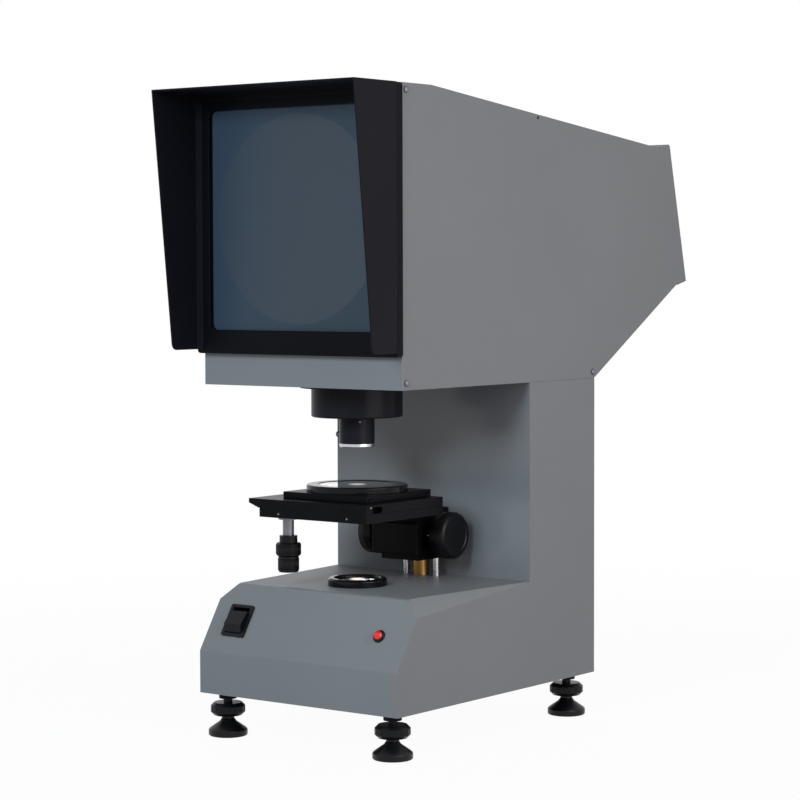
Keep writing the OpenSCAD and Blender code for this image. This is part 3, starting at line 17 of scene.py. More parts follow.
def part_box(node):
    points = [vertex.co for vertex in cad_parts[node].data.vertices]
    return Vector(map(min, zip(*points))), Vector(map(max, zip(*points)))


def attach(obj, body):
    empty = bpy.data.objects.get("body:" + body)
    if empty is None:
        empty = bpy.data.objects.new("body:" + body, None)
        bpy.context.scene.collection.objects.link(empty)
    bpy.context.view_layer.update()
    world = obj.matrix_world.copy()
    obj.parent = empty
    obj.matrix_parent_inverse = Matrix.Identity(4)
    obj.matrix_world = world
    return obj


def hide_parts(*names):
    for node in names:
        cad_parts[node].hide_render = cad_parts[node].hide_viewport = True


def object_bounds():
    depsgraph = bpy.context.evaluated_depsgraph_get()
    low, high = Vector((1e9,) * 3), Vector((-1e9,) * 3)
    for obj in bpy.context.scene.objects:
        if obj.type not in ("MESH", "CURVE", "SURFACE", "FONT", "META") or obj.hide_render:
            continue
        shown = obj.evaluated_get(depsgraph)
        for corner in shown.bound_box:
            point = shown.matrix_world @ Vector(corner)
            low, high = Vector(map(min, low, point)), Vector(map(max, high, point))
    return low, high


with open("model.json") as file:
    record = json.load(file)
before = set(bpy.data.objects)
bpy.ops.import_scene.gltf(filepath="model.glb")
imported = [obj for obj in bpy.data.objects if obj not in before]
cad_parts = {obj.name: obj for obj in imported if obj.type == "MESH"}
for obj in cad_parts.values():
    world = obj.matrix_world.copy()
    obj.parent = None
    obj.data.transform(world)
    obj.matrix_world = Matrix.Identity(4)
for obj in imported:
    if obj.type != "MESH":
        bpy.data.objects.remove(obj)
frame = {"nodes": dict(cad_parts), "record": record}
cad_low, cad_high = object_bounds()
MM = 0.001
record = frame["record"]
body_of_node = {node: body for body, nodes in record["behaviour"]["bodies"].items() for node in nodes}
print("solids:", len(body_of_node), "height in mm:", round(cad_high.z / MM, 1))

# %% [markdown]
# ## The camera
# The view is a long lens from the front right, a little above the stage. A long lens keeps the head's
# edges nearly parallel, so the distance is large and the focal length is worked out from the photo's
# own width in pixels. The camera's axes are built from three angles, because a matrix of three axes
# leaves no doubt about the order of turns.

# %% Place the camera
PHOTO_SIDE = 800
FOCAL_PIXELS = 2473.17
SENSOR_WIDTH = 36.0
CLIP_END = 20
view_target = Vector((-1.387, -54.77, 297.88)) * MM
view_distance = 2258.06 * MM
azimuth = math.radians(37.268)
elevation = math.radians(2.976)
roll = math.radians(-0.165)
view_back = Vector((math.sin(azimuth) * math.cos(elevation),
                    -math.cos(azimuth) * math.cos(elevation), math.sin(elevation)))
level_right = Vector((math.cos(azimuth), math.sin(azimuth), 0))
level_up = view_back.cross(level_right)
view_right = level_right * math.cos(roll) + level_up * math.sin(roll)
view_up = level_up * math.cos(roll) - level_right * math.sin(roll)
camera = bpy.data.objects.new("camera", bpy.data.cameras.new("camera"))
camera.data.sensor_width = SENSOR_WIDTH
camera.data.lens = SENSOR_WIDTH * FOCAL_PIXELS / PHOTO_SIDE
camera.data.clip_end = CLIP_END
camera.matrix_world = (Matrix.Translation(view_target + view_back * view_distance)
                       @ Matrix((view_right, view_up, view_back)).transposed().to_4x4())
bpy.context.scene.collection.objects.link(camera)
bpy.context.scene.camera = camera
print("lens in mm:", round(camera.data.lens, 1))

# %% [markdown]
# ## Writing shaders as sums
# A finish is mostly arithmetic: so much mottling, so much grain. Wiring Math nodes by hand hides
# that, so a small class wraps a socket and lets Python's own operators add the nodes.

# %% A socket that can be added and multiplied
class Flow:
    """An output of a node: arithmetic on it adds Math nodes."""

    def __init__(self, wiring, socket):
        self.wiring = wiring
        self.socket = socket

    def _math(self, operation, first, second):
        return self.wiring.node("ShaderNodeMath", {"operation": operation}, first, second)

    def __add__(self, other):
        return self._math("ADD", self, other)

    def __radd__(self, other):
        return self._math("ADD", other, self)

    def __sub__(self, other):
        return self._math("SUBTRACT", self, other)

    def __rsub__(self, other):
        return self._math("SUBTRACT", other, self)

    def __mul__(self, other):
        return self._math("MULTIPLY", self, other)

    def __rmul__(self, other):
        return self._math("MULTIPLY", other, self)

    def __pow__(self, other):
        return self._math("POWER", self, other)

    def step(self, low, high):
        """0 below low and 1 above high, with a smooth rise between."""
        return self.wiring.node("ShaderNodeMapRange", {"interpolation_type": "SMOOTHSTEP"},
                                self, low, high, 0.0, 1.0)

    def between(self, low, high):
        """low where this value is 0, and high where it is 1."""
        return self * (high - low) + low


def from_centre(first, second):
    """Distance from the line on which both values are 0."""
    return (first * first + second * second) ** 0.5


print("sockets take sums and products")

# %% [markdown]
# ## Nodes as calls
# A shader, a world and a Geometry Nodes tree are all node trees. One class adds a node, sets it up and
# feeds its inputs, by order or by name, so a tree reads like a list of calls. A material is such a tree
# with a Principled shader, and it reads Object coordinates in metres, so a pattern keeps its real size.

# %% Trees and materials
class Wiring:
    """A node tree that is written as calls: each call adds one node and returns its output."""

    def __init__(self, tree):
        self.tree = tree

    def feed(self, socket, value):
        if isinstance(value, Flow):
            self.tree.links.new(value.socket, socket)
        else:
            socket.default_value = value

    def node(self, kind, settings=None, *values, out=0, **named):
        made = self.tree.nodes.new(kind)
        for key, value in (settings or {}).items():
            setattr(made, key, value)
        for index, value in enumerate(values):
            self.feed(made.inputs[index], value)
        for key, value in named.items():
            self.feed(made.inputs[key.replace("_", " ")], value)
        return Flow(self, made.outputs[out])


class Finish(Wiring):
    """One material, built on Object coordinates in metres."""

    def __init__(self, name):
        self.material = bpy.data.materials.new(name)
        self.material.use_nodes = True
        super().__init__(self.material.node_tree)
        self.shader = self.tree.nodes["Principled BSDF"]
        self.place = self.node("ShaderNodeTexCoord", out="Object")

    def noise(self, scale, detail=2.0, place=None):
        return self.node("ShaderNodeTexNoise", None, out="Fac", Vector=place or self.place,
                         Scale=scale, Detail=detail)

    def stretched(self, x, y, z):
        """Object coordinates scaled along each axis, for grain and brushed lines."""
        return self.node("ShaderNodeMapping", None, Vector=self.place, Scale=(x, y, z))

    def axis(self, name):
        return self.node("ShaderNodeSeparateXYZ", None, self.place, out=name)

    def mix(self, amount, first, second):
        """A colour between two, by amount."""
        made = self.tree.nodes.new("ShaderNodeMix")
        made.data_type = "RGBA"
        for index, value in ((0, amount), (6, first), (7, second)):
            self.feed(made.inputs[index], value)
        return Flow(self, made.outputs[2])

    def bump(self, height, strength, distance):
        self.feed(self.shader.inputs["Normal"], self.node(
            "ShaderNodeBump", None, Strength=strength, Distance=distance, Height=height))

    def set(self, **values):
        for key, value in values.items():
            self.feed(self.shader.inputs[key.replace("_", " ")], value)


def srgb(red, green, blue):
    """A colour as it is read off a screen, 0 to 255, as the linear colour that a shader takes."""
    def linear(level):
        share = level / 255
        return share / 12.92 if share <= 0.04045 else ((share + 0.055) / 1.055) ** 2.4
    return (linear(red), linear(green), linear(blue), 1.0)


def middle(node):
    """The middle of a node's box, on which a pattern or a small part is centred."""
    low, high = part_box(node)
    return (low + high) / 2


print("shader helpers ready")

# %% [markdown]
# ## Grey stove enamel
# The base and the head are sprayed with one grey enamel. Close up it has a fine orange-peel skin and
# a slight cloudiness. Noise at two scales gives both: the coarse one shifts the colour, the fine one
# feeds a bump. Dust dulls the faces that look up, and most of all the top of the head, which nobody
# wipes. The surface normal finds those faces, so no mask has to be painted.

# %% Grey enamel
FINE_BUMP = 0.1 * MM
COARSE_BUMP = 0.2 * MM
UNWIPED_FROM = 400 * MM
UNWIPED_ABOVE = 500 * MM


def grey_enamel():
    enamel = Finish("grey_enamel")
    cloud = enamel.noise(scale=7.0, detail=3.0)
    speck = enamel.noise(scale=1500.0, detail=1.0)
    peel = enamel.noise(scale=620.0)
    tone = cloud * 0.6 + speck * 0.4
    normal = enamel.node("ShaderNodeTexCoord", out="Normal")
    up = enamel.node("ShaderNodeSeparateXYZ", None, normal, out="Z")
    dust = up.step(0.9, 1.0)
    unwiped = up.step(0.85, 0.95) * enamel.axis("Z").step(UNWIPED_FROM, UNWIPED_ABOVE)
    clean_roughness = peel.between(0.18, 0.28)
    enamel.set(Base_Color=enamel.mix(tone, srgb(93, 94, 97), srgb(107, 108, 111)),
               Roughness=clean_roughness + dust * 0.27 + unwiped * 0.15, Specular_IOR_Level=0.36)
    enamel.bump(peel + speck * 0.5, strength=0.05, distance=FINE_BUMP)
    return enamel.material


GREY = grey_enamel()
print("made", GREY.name)

# %% [markdown]
# ## Black finishes
# The hood and the screen frame carry a fine textured black paint. The stage is black anodised
# aluminium, which is smoother and shows faint milling lines. The knobs, the switch and the feet are
# moulded or polished and take a clear highlight. Black reads mostly by its shine, so the three share
# one plan and differ in grain, roughness and reflection.

# %% Black paint, anodising and plastic
def black_paint(name, dark, light):
    paint = Finish(name)
    grain = paint.noise(scale=1900.0)
    cloud = paint.noise(scale=11.0, detail=3.0)
    paint.set(Base_Color=paint.mix(cloud, dark, light),
              Roughness=grain.between(0.36, 0.52), Specular_IOR_Level=0.05)
    paint.bump(grain, strength=0.22, distance=COARSE_BUMP)
    return paint.material


def black_anodised(name, dark, light):
    metal = Finish(name)
    lines = metal.noise(scale=1.0, place=metal.stretched(60.0, 2600.0, 2600.0))
    cloud = metal.noise(scale=30.0, detail=3.0)
    metal.set(Base_Color=metal.mix(cloud, dark, light),
              Roughness=lines.between(0.24, 0.38), Specular_IOR_Level=0.06)
    metal.bump(lines, strength=0.08, distance=FINE_BUMP)
    return metal.material


def black_gloss(name, rough, shine):
    gloss = Finish(name)
    cloud = gloss.noise(scale=45.0)
    grain = gloss.noise(scale=900.0, detail=1.0)
    gloss.set(Base_Color=gloss.mix(cloud, srgb(6, 6, 8), srgb(13, 13, 16)),
              Roughness=grain.between(rough, rough + 0.08), Specular_IOR_Level=shine)
    gloss.bump(grain, strength=0.05, distance=FINE_BUMP)
    return gloss.material


BLACK_PAINT = black_paint("black_paint", srgb(14, 14, 19), srgb(21, 21, 27))
# painted shade: the frame's deeper black draws the dark gap line between the hood and the head
FRAME_BLACK_GAP_SHADE = black_paint("frame_black", srgb(6, 6, 9), srgb(12, 12, 16))
ANODISED = black_anodised("black_anodised", srgb(4, 4, 6), srgb(11, 11, 14))
LENS_BLACK = black_anodised("lens_black", srgb(17, 17, 22), srgb(26, 25, 31))
POLISHED_BLACK = black_gloss("polished_black", rough=0.07, shine=0.14)
MOULDED_BLACK = black_gloss("moulded_black", rough=0.28, shine=0.16)
FOOT_BLACK = black_gloss("foot_black", rough=0.3, shine=0.2)
print("made the black finishes")

# %% [markdown]
# ## Bright metal
# The guide rods, the drive sleeve and the screws are turned or ground steel, and the rack post is
# brass. Turning leaves rings, so the roughness follows a fine noise that is squeezed along the part's
# height, which draws it out into rings without modelling any groove.

# %% Steel and brass
def turned_metal(name, dark, light, rough):
    metal = Finish(name)
    rings = metal.noise(scale=1.0, place=metal.stretched(90.0, 90.0, 4200.0))
    cloud = metal.noise(scale=60.0, detail=3.0)
    metal.set(Base_Color=metal.mix(cloud, dark, light), Metallic=1.0,
              Roughness=rings.between(rough, rough + 0.16))
    metal.bump(rings, strength=0.02, distance=FINE_BUMP)
    return metal.material


STEEL = turned_metal("turned_steel", srgb(176, 177, 181), srgb(206, 207, 210), rough=0.18)
BRASS = turned_metal("turned_brass", srgb(138, 104, 58), srgb(164, 128, 76), rough=0.26)
ZINC = turned_metal("dull_zinc", srgb(112, 113, 117), srgb(140, 141, 145), rough=0.34)
# painted shade: the drive sleeve's steel is darker, standing for the dark surroundings it reflects
SHADED_STEEL = turned_metal("worn_steel", srgb(84, 84, 88), srgb(128, 128, 133), rough=0.28)
PANEL_ZINC = turned_metal("panel_zinc", srgb(92, 93, 97), srgb(118, 119, 123), rough=0.46)
BLACK_STEEL = turned_metal("blackened_steel", srgb(34, 34, 37), srgb(48, 48, 52), rough=0.34)
print("made the metals")

# %% [markdown]
# ## Clear glass and mirrors
# The stage glass and the lenses are clear. The lamp is on, as the red pilot light shows, so the middle
# of the condenser glows, and a little of the beam lights the stage glass. A real beam would need many
# samples to find its way through the lenses, so a painted glow, a soft round emission on each glass,
# stands for it.

# %% Clear glass and mirrors
GLASS_TINT = (0.93, 0.97, 0.98, 1.0)
GLASS_IOR = 1.5
LAMP_COLOUR = srgb(255, 236, 226)
NO_LIGHT = (0.0, 0.0, 0.0, 1.0)
GLOW_CORE = 0.4


def clear_glass(name, lit_node=None, lit_r=0.0, level=0.0):
    """Clear glass. Where a node is named, a painted glow lights its middle, out to a radius."""
    glass = Finish(name)
    smear = glass.noise(scale=40.0)
    glass.set(Base_Color=GLASS_TINT, Roughness=smear * 0.03, IOR=GLASS_IOR, Transmission_Weight=1.0)
    if lit_node:
        centre = middle(lit_node)
        radius = from_centre(glass.axis("X") - centre.x, glass.axis("Y") - centre.y)
        dimmed = radius.step(lit_r * GLOW_CORE, lit_r)
        glass.set(Emission_Color=glass.mix(dimmed, LAMP_COLOUR, NO_LIGHT), Emission_Strength=level)
    return glass.material


def mirror_coat():
    coat = Finish("mirror_coat")
    dust = coat.noise(scale=300.0, detail=3.0)
    coat.set(Base_Color=srgb(226, 230, 234), Metallic=1.0, Roughness=dust.between(0.01, 0.06))
    return coat.material


CLEAR = clear_glass("clear_glass")
# painted glow on the condenser and the stage glass, standing for the lamp's beam
LIT_CONDENSER = clear_glass("lit_condenser", "condenser_lens", lit_r=9 * MM, level=0.7)
LIT_STAGE_GLASS = clear_glass("lit_stage_glass", "stage_glass", lit_r=10 * MM, level=0.3)
MIRROR = mirror_coat()
print("made the clear glass")

# %% [markdown]
# ## The ground glass of the screen
# The screen's back is ground, so it looks like a dark blue-grey sheet with a soft sheen. A paler round
# field is painted light that shows where the projected image falls; distance from the middle of the pane
# draws it. A slow change from left to right, broken up by noise, paints shade on the left of the field,
# where the hood's left cheek shades it, and makes the field's edge faint there.

# %% Ground glass
FIELD_R = 91 * MM
FIELD_BLUR = 0.8 * MM
SHADE_RAMP_FROM = -70 * MM
SHADE_RAMP_TO = 80 * MM
SHADE_RAMP_WAVE = 60 * MM


def ground_glass():
    glass = Finish("ground_glass")
    centre = middle("screen_glass")
    across = glass.axis("X") - centre.x
    height = glass.axis("Z") - centre.z
    outside = from_centre(across, height).step(FIELD_R - FIELD_BLUR, FIELD_R + FIELD_BLUR)
    cloud = glass.noise(scale=16.0, detail=3.0)
    # painted shade: the field is darker and bluer towards the left, where the hood's left cheek shades it
    left_shade_ramp = (across + cloud * SHADE_RAMP_WAVE).step(SHADE_RAMP_FROM, SHADE_RAMP_TO)
    grain = glass.noise(scale=2400.0, detail=1.0)
    # painted light: the paler field inside the circle stands for the projected beam, and the corners
    # outside it stay darker
    field = glass.mix(left_shade_ramp, srgb(46, 55, 66), srgb(50, 56, 64))
    corner = glass.mix(left_shade_ramp, srgb(42, 53, 66), srgb(36, 49, 59))
    glass.set(Base_Color=glass.mix(outside, field, corner), Roughness=grain.between(0.36, 0.46),
              Specular_IOR_Level=0.25)
    glass.bump(grain, strength=0.1, distance=FINE_BUMP)
    return glass.material


GROUND = ground_glass()
print("made", GROUND.name)

# %% [markdown]
# ## Small finishes
# The pilot lamp has a red moulded lens. The lamp socket is glazed ceramic, and the transformer is
# varnished iron and copper; both stay inside the base. Each is one colour with a little speckle, so
# one function makes all three.

# %% Red lens, ceramic and varnish
SPECKLE_SCALE = 240.0


def speckled(name, dark, light, rough):
    finish = Finish(name)
    speck = finish.noise(scale=SPECKLE_SCALE, detail=3.0)
    finish.set(Base_Color=finish.mix(speck, dark, light), Roughness=speck.between(rough, rough + 0.1))
    return finish.material


RED = speckled("red_lens", srgb(178, 14, 24), srgb(214, 32, 40), rough=0.12)
CERAMIC = speckled("ceramic", srgb(214, 208, 196), srgb(230, 226, 216), rough=0.3)
VARNISH = speckled("varnish", srgb(92, 58, 40), srgb(120, 78, 52), rough=0.4)
print("made the small finishes")

# %% [markdown]
# ## Soft edges on every solid
# A CAD edge is perfectly sharp, and a real one never is: sheet is deburred, castings are rubbed down.
# The node's own mesh must stay as it is, so each visible node gets a copy whose loose triangles are
# merged and whose sharp edges are bevelled. The copy then stands for the node.

# %% Merge, shade and bevel
WELD_DISTANCE = 0.002 * MM
FLAT_ANGLE = math.radians(0.6)
SHARP_ANGLE = math.radians(28)


def merged_copy(node, name):
    """The node's triangles as one joined mesh, with flat areas made single faces."""
    mesh = frame["nodes"][node].data.copy()
    mesh.name = name
    work = bmesh.new()
    work.from_mesh(mesh)
    bmesh.ops.remove_doubles(work, verts=work.verts, dist=WELD_DISTANCE)
    bmesh.ops.dissolve_limit(work, angle_limit=FLAT_ANGLE, verts=work.verts, edges=work.edges)
    work.to_mesh(mesh)
    work.free()
    return mesh


def shade(mesh):
    """Smooth faces with sharp edges where two faces meet at an angle."""
    work = bmesh.new()
    work.from_mesh(mesh)
    for face in work.faces:
        face.smooth = True
    for edge in work.edges:
        edge.smooth = len(edge.link_faces) == 2 and edge.calc_face_angle(0) < SHARP_ANGLE
    work.to_mesh(mesh)
    work.free()


def harden(piece, width, segments):
    """Bevels the sharp edges, and keeps the flats beside them flat."""
    edges = piece.modifiers.new("edges", "BEVEL")
    edges.width = width
    edges.segments = segments
    edges.limit_method = "ANGLE"
    edges.angle_limit = SHARP_ANGLE
    edges.use_clamp_overlap = True
    edges.harden_normals = True


print("edge helpers ready")

# %% [markdown]
# ## From a copy to a finished piece
# The export takes plain meshes, so the modifiers are worked out once and dropped. A finished piece then
# rides an empty for its body, and the node it stands for is hidden.

# %% Settle a piece and dress a node
def settle(piece):
    """Turns the piece with its modifiers into a plain mesh, and drops faces that are not valid."""
    graph = bpy.context.evaluated_depsgraph_get()
    mesh = bpy.data.meshes.new_from_object(piece.evaluated_get(graph))
    mesh.name = piece.name
    mesh.validate()
    piece.modifiers.clear()
    piece.data = mesh


def add_piece(name, mesh, material=None):
    piece = bpy.data.objects.new(name, mesh)
    bpy.context.scene.collection.objects.link(piece)
    if material:
        mesh.materials.clear()
        mesh.materials.append(material)
    return piece


def dress(node, material, bevel, segments=2):
    """A bevelled copy that stands for a node."""
    name = node + "_dressed"
    piece = add_piece(name, merged_copy(node, name), material)
    shade(piece.data)
    if bevel:
        harden(piece, bevel, segments)
        settle(piece)
    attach(piece, body_of_node[node])
    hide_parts(node)


print("dressing helpers ready")

# %% [markdown]
# ## The grey body and head
# The base and the column are one casting, and the head is folded from sheet. The casting has generous
# rubbed edges, the sheets only a deburred one. Three bevel steps keep the long edges smooth, because
# they catch the light along the whole machine.

# %% Dress the casting and the sheets
CAST_EDGE = 0.9 * MM
SHEET_EDGE = 0.6 * MM
COVER_EDGE = 0.5 * MM
LONG_EDGE_STEPS = 3
grey_edges = {"base_body": CAST_EDGE, "rear_cover": COVER_EDGE, "head_floor": SHEET_EDGE,
              "head_top": SHEET_EDGE, "head_side_left": SHEET_EDGE, "head_side_right": SHEET_EDGE,
              "mirror_cover": COVER_EDGE}
for node, bevel in grey_edges.items():
    dress(node, GREY, bevel, LONG_EDGE_STEPS)
print("dressed the grey pieces:", len(grey_edges))

# %% [markdown]
# ## The screen, its frame and its hood
# The frame is milled, the hood folded from sheet, and both have the textured black paint. The frame's
# black is made deeper as painted shade, so its rim reads as the dark gap between the hood and the grey
# head.

# %% Dress the screen end
FRAME_EDGE = 1.0 * MM
HOOD_EDGE = 0.45 * MM
PANE_EDGE = 0.3 * MM
dress("screen_frame", FRAME_BLACK_GAP_SHADE, FRAME_EDGE, LONG_EDGE_STEPS)
dress("screen_hood", BLACK_PAINT, HOOD_EDGE)
dress("screen_glass", GROUND, PANE_EDGE)
print("dressed the screen end")

# %% [markdown]
# ## The lens train
# The drum and the barrel are turned black parts, with one bright ring at the mouth of the objective,
# and a polished ring holds the condenser. The lenses themselves are already smooth and round, and a
# bevel would only spoil their rims, so they get none.

# %% Dress the lens train
TURNED_EDGE = 0.5 * MM
RING_EDGE = 0.3 * MM
NO_EDGE = 0
for node in ("lens_mount", "objective_barrel"):
    dress(node, LENS_BLACK, TURNED_EDGE)
dress("condenser_ring", POLISHED_BLACK, TURNED_EDGE)
dress("objective_ring", STEEL, RING_EDGE)
dress("condenser_lens", LIT_CONDENSER, NO_EDGE)
for node in ("objective_lens", "projection_lens", "collector_lenses", "lamp_bulb"):
    dress(node, CLEAR, NO_EDGE)
dress("projection_cell", ANODISED, RING_EDGE)
print("dressed the lens train")

# %% [markdown]
# ## The stage and its lift
# The stage is a pile of milled plates under a turned disc. It rides on ground rods, and a brass rack
# lifts it. Ground and toothed parts keep a very small bevel, because a wide one would eat the teeth.

# %% Dress the stage
MILLED_EDGE = 0.6 * MM
KNOB_EDGE = 0.4 * MM
STAGE_GLASS_EDGE = 0.2 * MM
GROUND_EDGE = 0.1 * MM
for node in ("stage_base_plate", "y_slide_plate", "x_slide_plate", "lift_carriage", "stage_bracket"):
    dress(node, ANODISED, MILLED_EDGE)
dress("stage_disc", POLISHED_BLACK, KNOB_EDGE)
dress("stage_glass", LIT_STAGE_GLASS, STAGE_GLASS_EDGE)
for node in ("focus_knobs", "y_knob", "x_knob"):
    dress(node, MOULDED_BLACK, KNOB_EDGE)
for node in ("guide_rods", "pinion_shaft", "y_rack", "x_rack"):
    dress(node, STEEL, GROUND_EDGE)
# the sleeve takes the darker steel, whose colour holds painted shade
dress("drive_sleeve", SHADED_STEEL, GROUND_EDGE)
dress("rack_post", BRASS, GROUND_EDGE)
print("dressed the stage")

# %% [markdown]
# ## Controls, feet and hidden pieces
# The switch, the pilot lamp's bezel and the mains inlet are plastic mouldings, and each foot is a
# swivel pad under a handwheel. The light source and the mirrors are out of sight in the base and the
# head, so a plain finish and a small bevel are enough for them.

# %% Dress the controls, the feet and the inside
PAD_EDGE = 0.5 * MM
INSIDE_EDGE = 0.2 * MM
for node in ("switch_housing", "switch_rocker", "indicator_bezel", "power_inlet"):
    dress(node, MOULDED_BLACK, KNOB_EDGE)
dress("indicator_lens", RED, NO_EDGE)
for corner in ("front_left", "front_right", "rear_left", "rear_right"):
    dress("foot_pad_" + corner, FOOT_BLACK, PAD_EDGE)
    dress("foot_screw_" + corner, MOULDED_BLACK, KNOB_EDGE)
inside = {"bottom_plate": BLACK_PAINT, "base_mirror": MIRROR, "base_mirror_bracket": BLACK_PAINT,
          "collector_holder": ANODISED, "lamp_socket": CERAMIC, "transformer": VARNISH,
          "turning_mirror": MIRROR, "turning_mirror_bracket": BLACK_PAINT,
          "rear_mirror": MIRROR, "rear_mirror_frame": BLACK_PAINT}
for node, material in inside.items():
    dress(node, material, INSIDE_EDGE)
dress("screws", PANEL_ZINC, INSIDE_EDGE)
print("dressed the controls, the feet and", len(inside), "pieces inside")

# %% [markdown]
# ## Parts that repeat
# Screw heads and knurls come many times over, so Geometry Nodes places them. The first tree puts a
# domed head with a cross recess on every point it is given, turned to the point's own direction. The
# second sets bars round a ring. Each result becomes a plain mesh, because it has to ride a body.

# %% A Geometry Nodes tree with named inputs
class Pattern(Wiring):
    """A Geometry Nodes tree with named inputs."""

    def __init__(self, name, **inputs):
        super().__init__(bpy.data.node_groups.new(name, "GeometryNodeTree"))
        self.keys = {}
        self._socket("Geometry", "INPUT", "Geometry")
        for key, kind in inputs.items():
            self.keys[key] = self._socket(key, "INPUT", kind)
        self._socket("Geometry", "OUTPUT", "Geometry")
        self.source = self.tree.nodes.new("NodeGroupInput")

    def _socket(self, name, side, kind):
        made = self.tree.interface.new_socket(name, in_out=side, socket_type="NodeSocket" + kind)
        return made.identifier

    def given(self, key):
        return Flow(self, self.source.outputs[key])

    def finish(self, shape, material):
        """Ends the tree with real, smooth, painted geometry."""
        real = self.node("GeometryNodeRealizeInstances", None, shape)
        smooth = self.node("GeometryNodeSetShadeSmooth", None, real)
        painted = self.node("GeometryNodeSetMaterial", None, smooth, Material=material)
        self.feed(self.tree.nodes.new("NodeGroupOutput").inputs[0], painted)

    def grow(self, name, mesh, body, slot, **values):
        """Runs the tree on a mesh and keeps the result as a piece of a body."""
        piece = add_piece(name, mesh)
        change = piece.modifiers.new("pattern", "NODES")
        change.node_group = self.tree
        for key, value in values.items():
            change[self.keys[key]] = value
        settle(piece)
        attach(piece, body)
        return piece


print("pattern helper ready")

# %% [markdown]
# ## The screw head and the knurl
# A pan head is a flattened ball with two crossed slots cut from it. The lower half sinks into what it
# sits on, so no flat underside has to be made. A knurl is a ring of thin bars, rather more than half
# sunk in the knob: from a little way off they read as cut ridges, and they cost few faces.
# The cuts in the head are a weak spot. They leave some open edges in the recess, and the triangles
# there differ a little from run to run. It can't be seen in a render, but it shows in the meshes.

# %% Trees for screw heads and knurls
DOME_HEIGHT = 0.42
RECESS_SHARES = (1.3, 0.3, 0.8)
CUT = {"operation": "DIFFERENCE"}


def screw_heads():
    tree = Pattern("screw_heads", Radius="Float", Metal="Material")
    radius = tree.given("Radius")
    ball = tree.node("GeometryNodeMeshUVSphere", None, Segments=20, Rings=10, Radius=radius)
    dome = tree.node("GeometryNodeTransform", None, ball, Scale=(1, 1, DOME_HEIGHT))
    arm_size = tree.node("ShaderNodeCombineXYZ", None, *(radius * share for share in RECESS_SHARES))
    arm = tree.node("GeometryNodeMeshCube", None, Size=arm_size)
    crossed = tree.node("GeometryNodeTransform", None, arm, Rotation=(0, 0, math.pi / 2))
    slotted = tree.node("GeometryNodeMeshBoolean", CUT, dome, arm)
    head = tree.node("GeometryNodeMeshBoolean", CUT, slotted, crossed)
    out = tree.node("GeometryNodeInputNamedAttribute", {"data_type": "FLOAT_VECTOR"}, "out")
    facing = tree.node("FunctionNodeAlignRotationToVector", {"axis": "Z"}, Vector=out)
    placed = tree.node("GeometryNodeInstanceOnPoints", None, tree.given("Geometry"), Instance=head,
                       Rotation=facing)
    tree.finish(placed, tree.given("Metal"))
    return tree


def knurl():
    tree = Pattern("knurl", Count="Int", Radius="Float", Length="Float", Bar="Float", Metal="Material")
    ring = tree.node("GeometryNodeMeshCircle", None, Vertices=tree.given("Count"),
                     Radius=tree.given("Radius"))
    bar = tree.node("GeometryNodeMeshCylinder", None, Vertices=8, Side_Segments=1, Fill_Segments=1,
                    Radius=tree.given("Bar"), Depth=tree.given("Length"))
    placed = tree.node("GeometryNodeInstanceOnPoints", None, ring, Instance=bar)
    tree.finish(placed, tree.given("Metal"))
    return tree


SCREW_HEADS = screw_heads()
KNURL = knurl()
print("made the patterns")

# %% [markdown]
# ## Panel screws
# Pan-head screws hold the side panels and the rear cover. The largest flat face that looks away from
# the middle of the object is the top of a CAD screw's head, which gives its place and direction. A
# rounded head with a cross recess sits on it, so the screws stay where the solids have them.

# %% Rounded heads on the CAD screws
HEAD_R = 2.1 * MM
HEAD_SINK = 0.5 * MM
BESIDE_X = 60 * MM
LEVEL_Z = 0.5


def island_tops(node):
    """Centre and direction of the largest outward face of each separate solid in a node."""
    object_middle = (cad_low + cad_high) / 2
    work = bmesh.new()
    work.from_mesh(merged_copy(node, "tops"))
    left = set(work.faces)
    tops = []
    while left:
        island = [left.pop()]
        for face in island:
            near = {other for edge in face.edges for other in edge.link_faces} & left
            left -= near
            island.extend(near)
        outward = [face for face in island
                   if face.normal.dot(face.calc_center_median() - object_middle) > 0]
        top = max(outward, key=lambda face: face.calc_area())
        tops.append((top.calc_center_median(), top.normal.copy()))
    work.free()
    return tops


def place_screws(name, body, slot, radius, metal, places):
    """Screw heads as one piece of a body, from pairs of a place and the direction it looks in."""
    mesh = bpy.data.meshes.new(name)
    mesh.from_pydata([place for place, out in places], [], [])
    looks = mesh.attributes.new("out", "FLOAT_VECTOR", "POINT")
    for index, (place, out) in enumerate(places):
        looks.data[index].vector = out
    SCREW_HEADS.grow(name, mesh, body, slot, Radius=radius, Metal=metal)


raised_heads = [(place - out * HEAD_SINK, out) for place, out in island_tops("screws")
                if abs(out.z) < LEVEL_Z and abs(place.x) > BESIDE_X]
place_screws("screw_tops", "frame", "steel", HEAD_R, PANEL_ZINC, raised_heads)
print("rounded the heads of", len(raised_heads), "screws")

# %% [markdown]
# ## Set screws
# A few screws are too small for the CAD: they lock the stage plates, the lens barrel and the hubs of
# the focus knobs, and two dark ones sit at the upper edges of the side panels. Their places start from
# the box of the piece that holds them, and a named distance then moves each one along its face.

# %% Set screws on the stage, the barrel, the hubs and the panels
SET_SCREW_R = 1.0 * MM
PLATE_SCREW_X = 38.5 * MM
PLATE_SCREW_UP = 3.5 * MM
SLIDE_SCREW_IN = 6.5 * MM
SLIDE_SCREW_UP = 5.6 * MM
BARREL_SCREW_DOWN = 16 * MM
HUB_SCREW_X = 26 * MM
HUB_R = 11.6 * MM
EDGE_SCREW_R = 1.5 * MM
EDGE_SCREW_Y = 4.2 * MM
EDGE_SCREW_Z = 552.8 * MM
FORWARD = Vector((0, -1, 0))
TO_RIGHT = Vector((1, 0, 0))
BARREL_LOOK = Vector((0.74, -0.67, 0))

